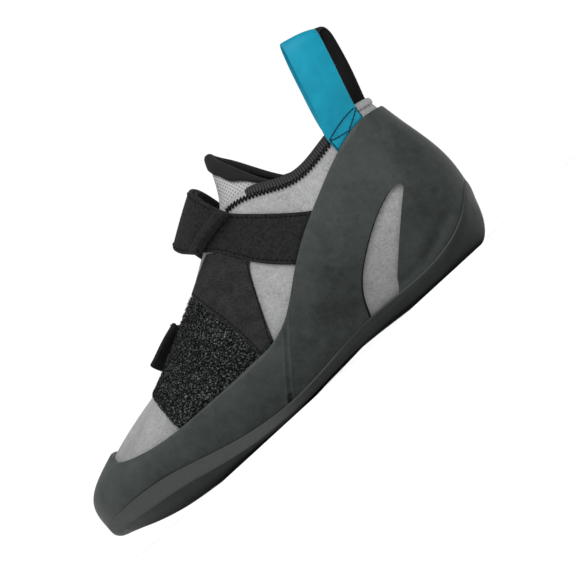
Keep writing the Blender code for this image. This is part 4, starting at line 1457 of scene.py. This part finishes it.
# %% Tongue sheet
TONGUE_CLEAR = 1.1
CORNER_CUT, CORNER_CUT_FROM = 0.06, 0.45
TONGUE_FACES = UP + np.array([.6, 0, 0])
Tuck = namedtuple("Tuck", "place x reach")
TUCKS = [
    Tuck("vamp_end", 177, 24), Tuck("front_strap", 160, 33), Tuck("instep", 141, 32),
    Tuck("upper_strap", 122, 30), Tuck("throat_top", 105, 27),
]
Flap = namedtuple("Flap", "place mid_x mid_z half_x half_y half_z edge_x edge_y edge_z")
FLAPS = [
    Flap("collar", 93, 107.5, 87, 11.5, 101, 75, 15.4, 86),
    Flap("tip", 85.5, 124, 79, 9.0, 113.5, 62, 15.2, 92),
]


def tongue_sheet():
    part = 1 - 2 * crowded_ends(81, 0.6)
    rows = [drape(0 * part + tuck.x, tuck.reach * part, 0 * part)[0] for tuck in TUCKS]
    for f in FLAPS:
        line = np.array([
            (f.edge_x, f.edge_y, f.edge_z), (f.half_x, f.half_y, f.half_z), (f.mid_x, 0, f.mid_z),
            (f.half_x, -f.half_y, f.half_z), (f.edge_x, -f.edge_y, f.edge_z),
        ], float)
        rows.append(even_curve(line, (1 - part) * 2))
    rows = np.array(rows)
    tucked = measure(rows, np.broadcast_to(UP, rows.shape))
    rows[:len(TUCKS)] -= tucked.normals[:len(TUCKS)] * (WALL + TONGUE_CLEAR)
    corner = 1 - CORNER_CUT * between(np.abs(part), CORNER_CUT_FROM, 1)
    at = crowded_ends(120, 0.55)[:, None] * (len(rows) - 1) * corner
    points = np.stack([even_curve(rows[:, j], at[:, j]) for j in range(len(part))], 1)
    return measure(points, np.broadcast_to(TONGUE_FACES, points.shape)), at, part


tongue_laid, tongue_at, tongue_part = tongue_sheet()
print("tongue:", round(tongue_laid.along.max()), "mm long")

# %% Tongue
TONGUE = 2.4
TIP_FULL, TIP_FROM, TIP_ROUND = 5.6, 5.42, 3.2
TIP_SOFT, STUFFING_SOFT = 0.07, 0.16


def tongue_body(cloth):
    scallop = 0.05 * np.sin(tongue_part * 8 + .4) + 0.022 * np.sin(tongue_part * 19 + 1)
    past = tongue_at - TIP_FROM - scallop
    tip = between(past, 0, TIP_SOFT)
    flat = TONGUE * round_edge(cloth.edge, TONGUE / 2)
    stuffed = TIP_FULL * round_edge(cloth.edge, TIP_ROUND) - flat
    full = flat + stuffed * between(past, 0, STUFFING_SOFT)
    top = cloth.points - cloth.normals * ((TONGUE - full) / 2)[..., None]
    under = cloth.points - cloth.normals * ((TONGUE + full) / 2)[..., None]
    return two_faced("tongue_pad", cloth, top, under, {"tip": there_and_back(tip, 1 + 0 * tip)})


tongue = tongue_body(tongue_laid)
dress(tongue, "tongue_knit", [TONGUE_CLOTH], "tongue")

# %% [markdown]
# ## Collar binding
# The collar's raw edge is wrapped in a stretch knit, held by an overlock stitch whose loops make the saw
# teeth along its lower edge. Behind the heel, between the pull loops, the edge is wrapped in the suede
# itself. The wrap is a coarse section carried round the rim and smoothed by subdivision; the teeth are
# single threads, because their outline shows against the pale suede.

# %% Binding
BINDING_FROM, BINDING_TO = 4.15, 14.05 - len(KNOTS)
BINDING_TAPER = 9.0
HEEL_EDGE_X = 21.0
OUTER, INNER = GAP + 1.0, -WALL - GAP - 1.0
# The wrap's corners, from its lower edge outside over the rim and back: height on the wall as a share,
# distance off the wall, and rise above that.
Corner = namedtuple("Corner", "height off rise")
WRAP = [
    Corner(.968, .75, 0), Corner(.977, .95, 0), Corner(.989, OUTER, 0), Corner(1, OUTER, .7),
    Corner(1, .5, 1.8), Corner(1, -WALL / 2, 2.1), Corner(1, -WALL - .4, 1.8), Corner(1, INNER, .7),
    Corner(.985, INNER, 0), Corner(.96, INNER + .3, 0), Corner(.96, -WALL - GAP, 0),
    Corner(1, -WALL - GAP * .8, .3), Corner(1, GAP * .6, .3), Corner(.968, .12, 0),
]
WRAP_TOP = 3
HEART = Corner(.985, -WALL / 2, 0)


def binding_sections():
    u = np.mod(at_row(np.linspace(BINDING_FROM, BINDING_TO, 150)), 1.0)
    sections = np.stack([skin(u, 0 * u + c.height, c.off) + UP * c.rise for c in WRAP], 1)
    run = run_length(sections[:, WRAP_TOP])
    heart = skin(u, 0 * u + HEART.height, HEART.off)[:, None]
    close = round_edge(np.minimum(run, run[-1] - run), BINDING_TAPER)[:, None, None]
    sections = heart + (sections - heart) * close
    cloth = np.stack(np.broadcast_arrays(run[:, None], run_length(sections[0])[None, :]), -1)
    return sections, cloth


sections, cloth = binding_sections()
binding = loft("collar_knit", sections, cloth=cloth)
smooth = binding.modifiers.new("round", "SUBSURF")
smooth.levels = smooth.render_levels = 1
dress(binding, "binding_knit", [BINDING_KNIT, SUEDE], "collar_binding")
for face in binding.data.polygons:
    face.material_index = int(face.center.x / MM - HEEL_TO_MIDDLE[0] < HEEL_EDGE_X)

# %% Binding stitches
TOOTH_STEP, TOOTH_TOP, TOOTH_DEEP = 1.9, .974, .028
TOOTH_LIFT, TOOTH_ARCH, TOOTH_RADIUS = 0.50, 0.25, 0.40
TEETH_PAST_ROWS = 0.5
HEEL_EDGE_ROWS = 1.385


def tooth_paths():
    """Overlock thread: a saw line below the binding, one stroke down and one up for each tooth."""
    row = np.linspace(BINDING_FROM + TEETH_PAST_ROWS, BINDING_TO - TEETH_PAST_ROWS, 900)
    length = run_length(skin(np.mod(at_row(row), 1.0), 0 * row + TOOTH_TOP))
    s = THREAD_POINTS
    lift = TOOTH_LIFT + TOOTH_ARCH * np.sin(np.pi * s)
    paths = []
    for k, start in enumerate(np.arange(0, length[-1] - TOOTH_STEP, TOOTH_STEP / 2)):
        here = np.interp(start + s * TOOTH_STEP / 2, length, row)
        if np.abs(here).max() < HEEL_EDGE_ROWS:
            continue
        u = np.mod(at_row(here), 1.0)
        height = TOOTH_TOP - TOOTH_DEEP * (s if k % 2 == 0 else 1 - s)
        path = skin(u, height, lift)
        paths.append((path, skin(u, height, lift + 1) - path))
    return paths


sew("binding_stitches", tooth_paths(), TOOTH_RADIUS, THREAD_BLACK, "binding_knit")

# %% [markdown]
# ## Pull loops
# Two loops of woven tape help the heel on. Each goes up outside the collar, over, and down inside, and is
# sewn down at its foot with a box and a cross. The path is one smooth line for each place across
# the tape, so the tape twists with the collar, and its edges are rounded like a selvedge.

# %% Tape path
Bend = namedtuple("Bend", "rise out")
BENDS = [
    Bend(10, 4.0), Bend(24, 5.4), Bend(36, 5.2), Bend(43.4, 3.6), Bend(46, .6),
    Bend(45.8, -2.4), Bend(42.2, -5.8), Bend(35, -7.8), Bend(23, -8.0), Bend(9, -6.0),
]
LOOP_LEAN = np.array([-.30, 0, .954])
LOOP_DROP = 3.6
LOOP_TURN = max(b.rise for b in BENDS)
# Where the tape climbs from the rubber's edge to the rim, as a share of the way, and how far off it is.
CLIMB = ((.004, .25), (.45, .75), (1.0, 2.0))
TAPE_INSIDE, TAPE_INSIDE_HEIGHTS = -WALL - GAP - 1.9, (1.0, .955)


def tape_path(first_row, last_row, width):
    """Line along the tape at one place across it, from -1 to 1, starting under the rubber's edge."""
    one = np.ones(1)
    middle = np.mod(at_row(np.array([(first_row + last_row) / 2])), 1.0)
    out = unit((skin(middle, one, 1.0) - skin(middle, one))[0] * LEVEL)
    lean = LOOP_LEAN - out * (LOOP_LEAN * out).sum()
    u = np.mod(at_row(np.array([first_row + (last_row - first_row) * (width + 1) / 2])), 1.0)
    base = skin(u, one)[0]
    foot = round_shoe("rand", u)
    line = [skin(u, foot + (1 - foot) * part, off)[0] for part, off in CLIMB]
    scale = 1 - width * LOOP_DROP / LOOP_TURN
    line += [base + lean * b.rise * scale + out * b.out for b in BENDS]
    line += [skin(u, one * t, TAPE_INSIDE)[0] for t in TAPE_INSIDE_HEIGHTS]
    return smooth_line(line, 130)


print("loop's top above the rim:", LOOP_TURN, "mm")

# %% Pull loops
WEBBING, SELVEDGE = 1.3, 0.7
TAPE_STITCH_STEP, TAPE_STITCH_SHARE, TAPE_STITCH_ARCH, TAPE_STITCH_RADIUS = 2.0, 0.88, 0.3, 0.32
# The box starts below the rubber's edge, so only its upper half is sewn where it can be seen.
BOX_LOW, BOX_HIGH, BOX_LEFT, BOX_RIGHT = -5.0, 7.0, .14, .86
SEWN_FROM = 0.6
SIDE_ROW = 10


def pull_loop(name, finish, slot, first_row, last_row):
    width = crowded_ends(25) * 2 - 1
    points = np.stack([tape_path(first_row, last_row, w) for w in width], 1)
    tape = measure(points, points - points.mean(axis=(0, 1)), free_start=False)
    face = unit(np.cross(np.gradient(points, axis=0), np.gradient(points, axis=1)))
    face *= np.sign((face[SIDE_ROW] * (points[SIDE_ROW] - points[-SIDE_ROW])).sum())
    tape = tape._replace(normals=face)
    body, top = sheet_body(name + "_tape", tape, 0.0, WEBBING, SELVEDGE)
    dress(body, slot, [finish], name)
    return tape, top


def on_tape(tape, top, along, width):
    """Place on the tape's outer face, by distance along it and place across it from 0 to 1."""
    j = width * (top.shape[1] - 1)
    k = int(min(j, top.shape[1] - 2))
    line = top[:, k] + (top[:, k + 1] - top[:, k]) * (j - k)
    run = tape.along[:, k]
    return follow(along, run, line), follow(along, run, tape.normals[:, k])


def box_stitches(tape, top):
    low_left, high_left = np.array([BOX_LOW, BOX_LEFT]), np.array([BOX_HIGH, BOX_LEFT])
    low_right, high_right = np.array([BOX_LOW, BOX_RIGHT]), np.array([BOX_HIGH, BOX_RIGHT])
    runs = (
        (low_left, high_left), (high_left, high_right), (high_right, low_right),
        (low_left, high_right), (high_left, low_right),
    )
    paths = []
    for a, b in runs:
        route = a + (b - a) * np.linspace(0, 1, 60)[:, None]
        spots = [on_tape(tape, top, *spot) for spot in route[route[:, 0] > SEWN_FROM]]
        line, facing = (np.array(part) for part in zip(*spots))
        paths += stitch_paths(line, facing, TAPE_STITCH_STEP, TAPE_STITCH_SHARE, TAPE_STITCH_ARCH)
    return paths


for name, finish, thread, slot, first_row, last_row in (
    ("pull_loop_lateral", WEBBING_BLUE, THREAD_BLUE, "webbing_blue", 1.85, .92),
    ("pull_loop_medial", WEBBING_BLACK, THREAD_BLACK, "webbing_black", 16.15, 17.08),
):
    tape, top = pull_loop(name, finish, slot, first_row, last_row)
    sew(name + "_stitches", box_stitches(tape, top), TAPE_STITCH_RADIUS, thread, slot)

# %% [markdown]
# ## Floor and light
# The shoe stands on a plain pale floor in a light tent. The tent is white at the height of the shoe, so
# that the backdrop is white from every side, and dim above, so that the light keeps a direction. A wide
# soft sun comes from above, and two lamps, at the camera's side and the toe, lift the shade.

# %% Floor
FLOOR_HALF = 15.0
FLOOR_GREY = 0.93


def make_floor():
    finish = Finish("floor", 0.9, specular=0.1)
    finish.set("Base Color", (FLOOR_GREY, FLOOR_GREY, FLOOR_GREY, 1.0))
    mesh = bpy.data.meshes.new("floor")
    corners = [(-1, -1), (1, -1), (1, 1), (-1, 1)]
    mesh.from_pydata([(x * FLOOR_HALF, y * FLOOR_HALF, 0) for x, y in corners], [], [(0, 1, 2, 3)])
    mesh.materials.append(finish.material)
    floor = add_object("floor", mesh)
    return floor


print("floor:", make_floor().name)

# %% Light tent
HORIZON_GLOW, HIGH_GLOW = 1.02, 0.2
GLOW_STARTS_FADING, GLOW_FADED = 0.20, 0.47


def make_tent():
    """White backdrop all round, dimmer higher up."""
    world = bpy.data.worlds.new("tent")
    world.use_nodes = True
    start = Socket(world.node_tree)
    heading = start.node("ShaderNodeTexCoord", output="Generated")
    height = start.node(
        "ShaderNodeVectorMath", {"operation": "DOT_PRODUCT"}, {0: heading, 1: tuple(UP)}, output="Value")
    fade = start.node(
        "ShaderNodeMapRange", {"interpolation_type": "SMOOTHSTEP"},
        {"Value": height, "From Min": GLOW_STARTS_FADING, "From Max": GLOW_FADED})
    glow = start.node(
        "ShaderNodeMix", {"data_type": "RGBA"},
        {0: fade, 6: (HORIZON_GLOW,) * 3 + (1,), 7: (HIGH_GLOW,) * 3 + (1,)}, output=2)
    start.feed(world.node_tree.nodes["Background"].inputs["Color"], glow)
    bpy.context.scene.world = world


make_tent()
bpy.context.scene.view_settings.view_transform = "Standard"
print("backdrop:", bpy.context.scene.world.name)

# %% Sun and lamps
SUN_POWER = 2.7
SUN_ANGLE = math.radians(50)
SUN_HEADING = (.25, -.5, -1)
Lamp = namedtuple("Lamp", "name place aim size power")
LAMPS = [
    Lamp("camera_side", (-.5, 1.4, .9), (0, 0, .05), .9, 5.0),
    Lamp("toe_side", (1.1, .6, .6), (.08, 0, .03), .6, 3.0),
]


def add_sun():
    """Wide soft light from above."""
    sun = bpy.data.lights.new("ceiling", "SUN")
    sun.energy = SUN_POWER
    sun.angle = SUN_ANGLE
    turn_to(add_object("ceiling", sun), SUN_HEADING)


def add_lamp(lamp):
    light = bpy.data.lights.new(lamp.name, "AREA")
    light.shape = "DISK"
    light.size = lamp.size
    light.energy = lamp.power
    obj = add_object(lamp.name, light)
    obj.location = lamp.place
    turn_to(obj, Vector(lamp.aim) - Vector(lamp.place))


add_sun()
for lamp in LAMPS:
    add_lamp(lamp)
print("lamps:", [lamp.name for lamp in LAMPS])

# %% [markdown]
# ## Sizes
# The triangles of all the pieces are counted.

# %% Sizes
print("triangles in all:", sum(TRIANGLES.values()))
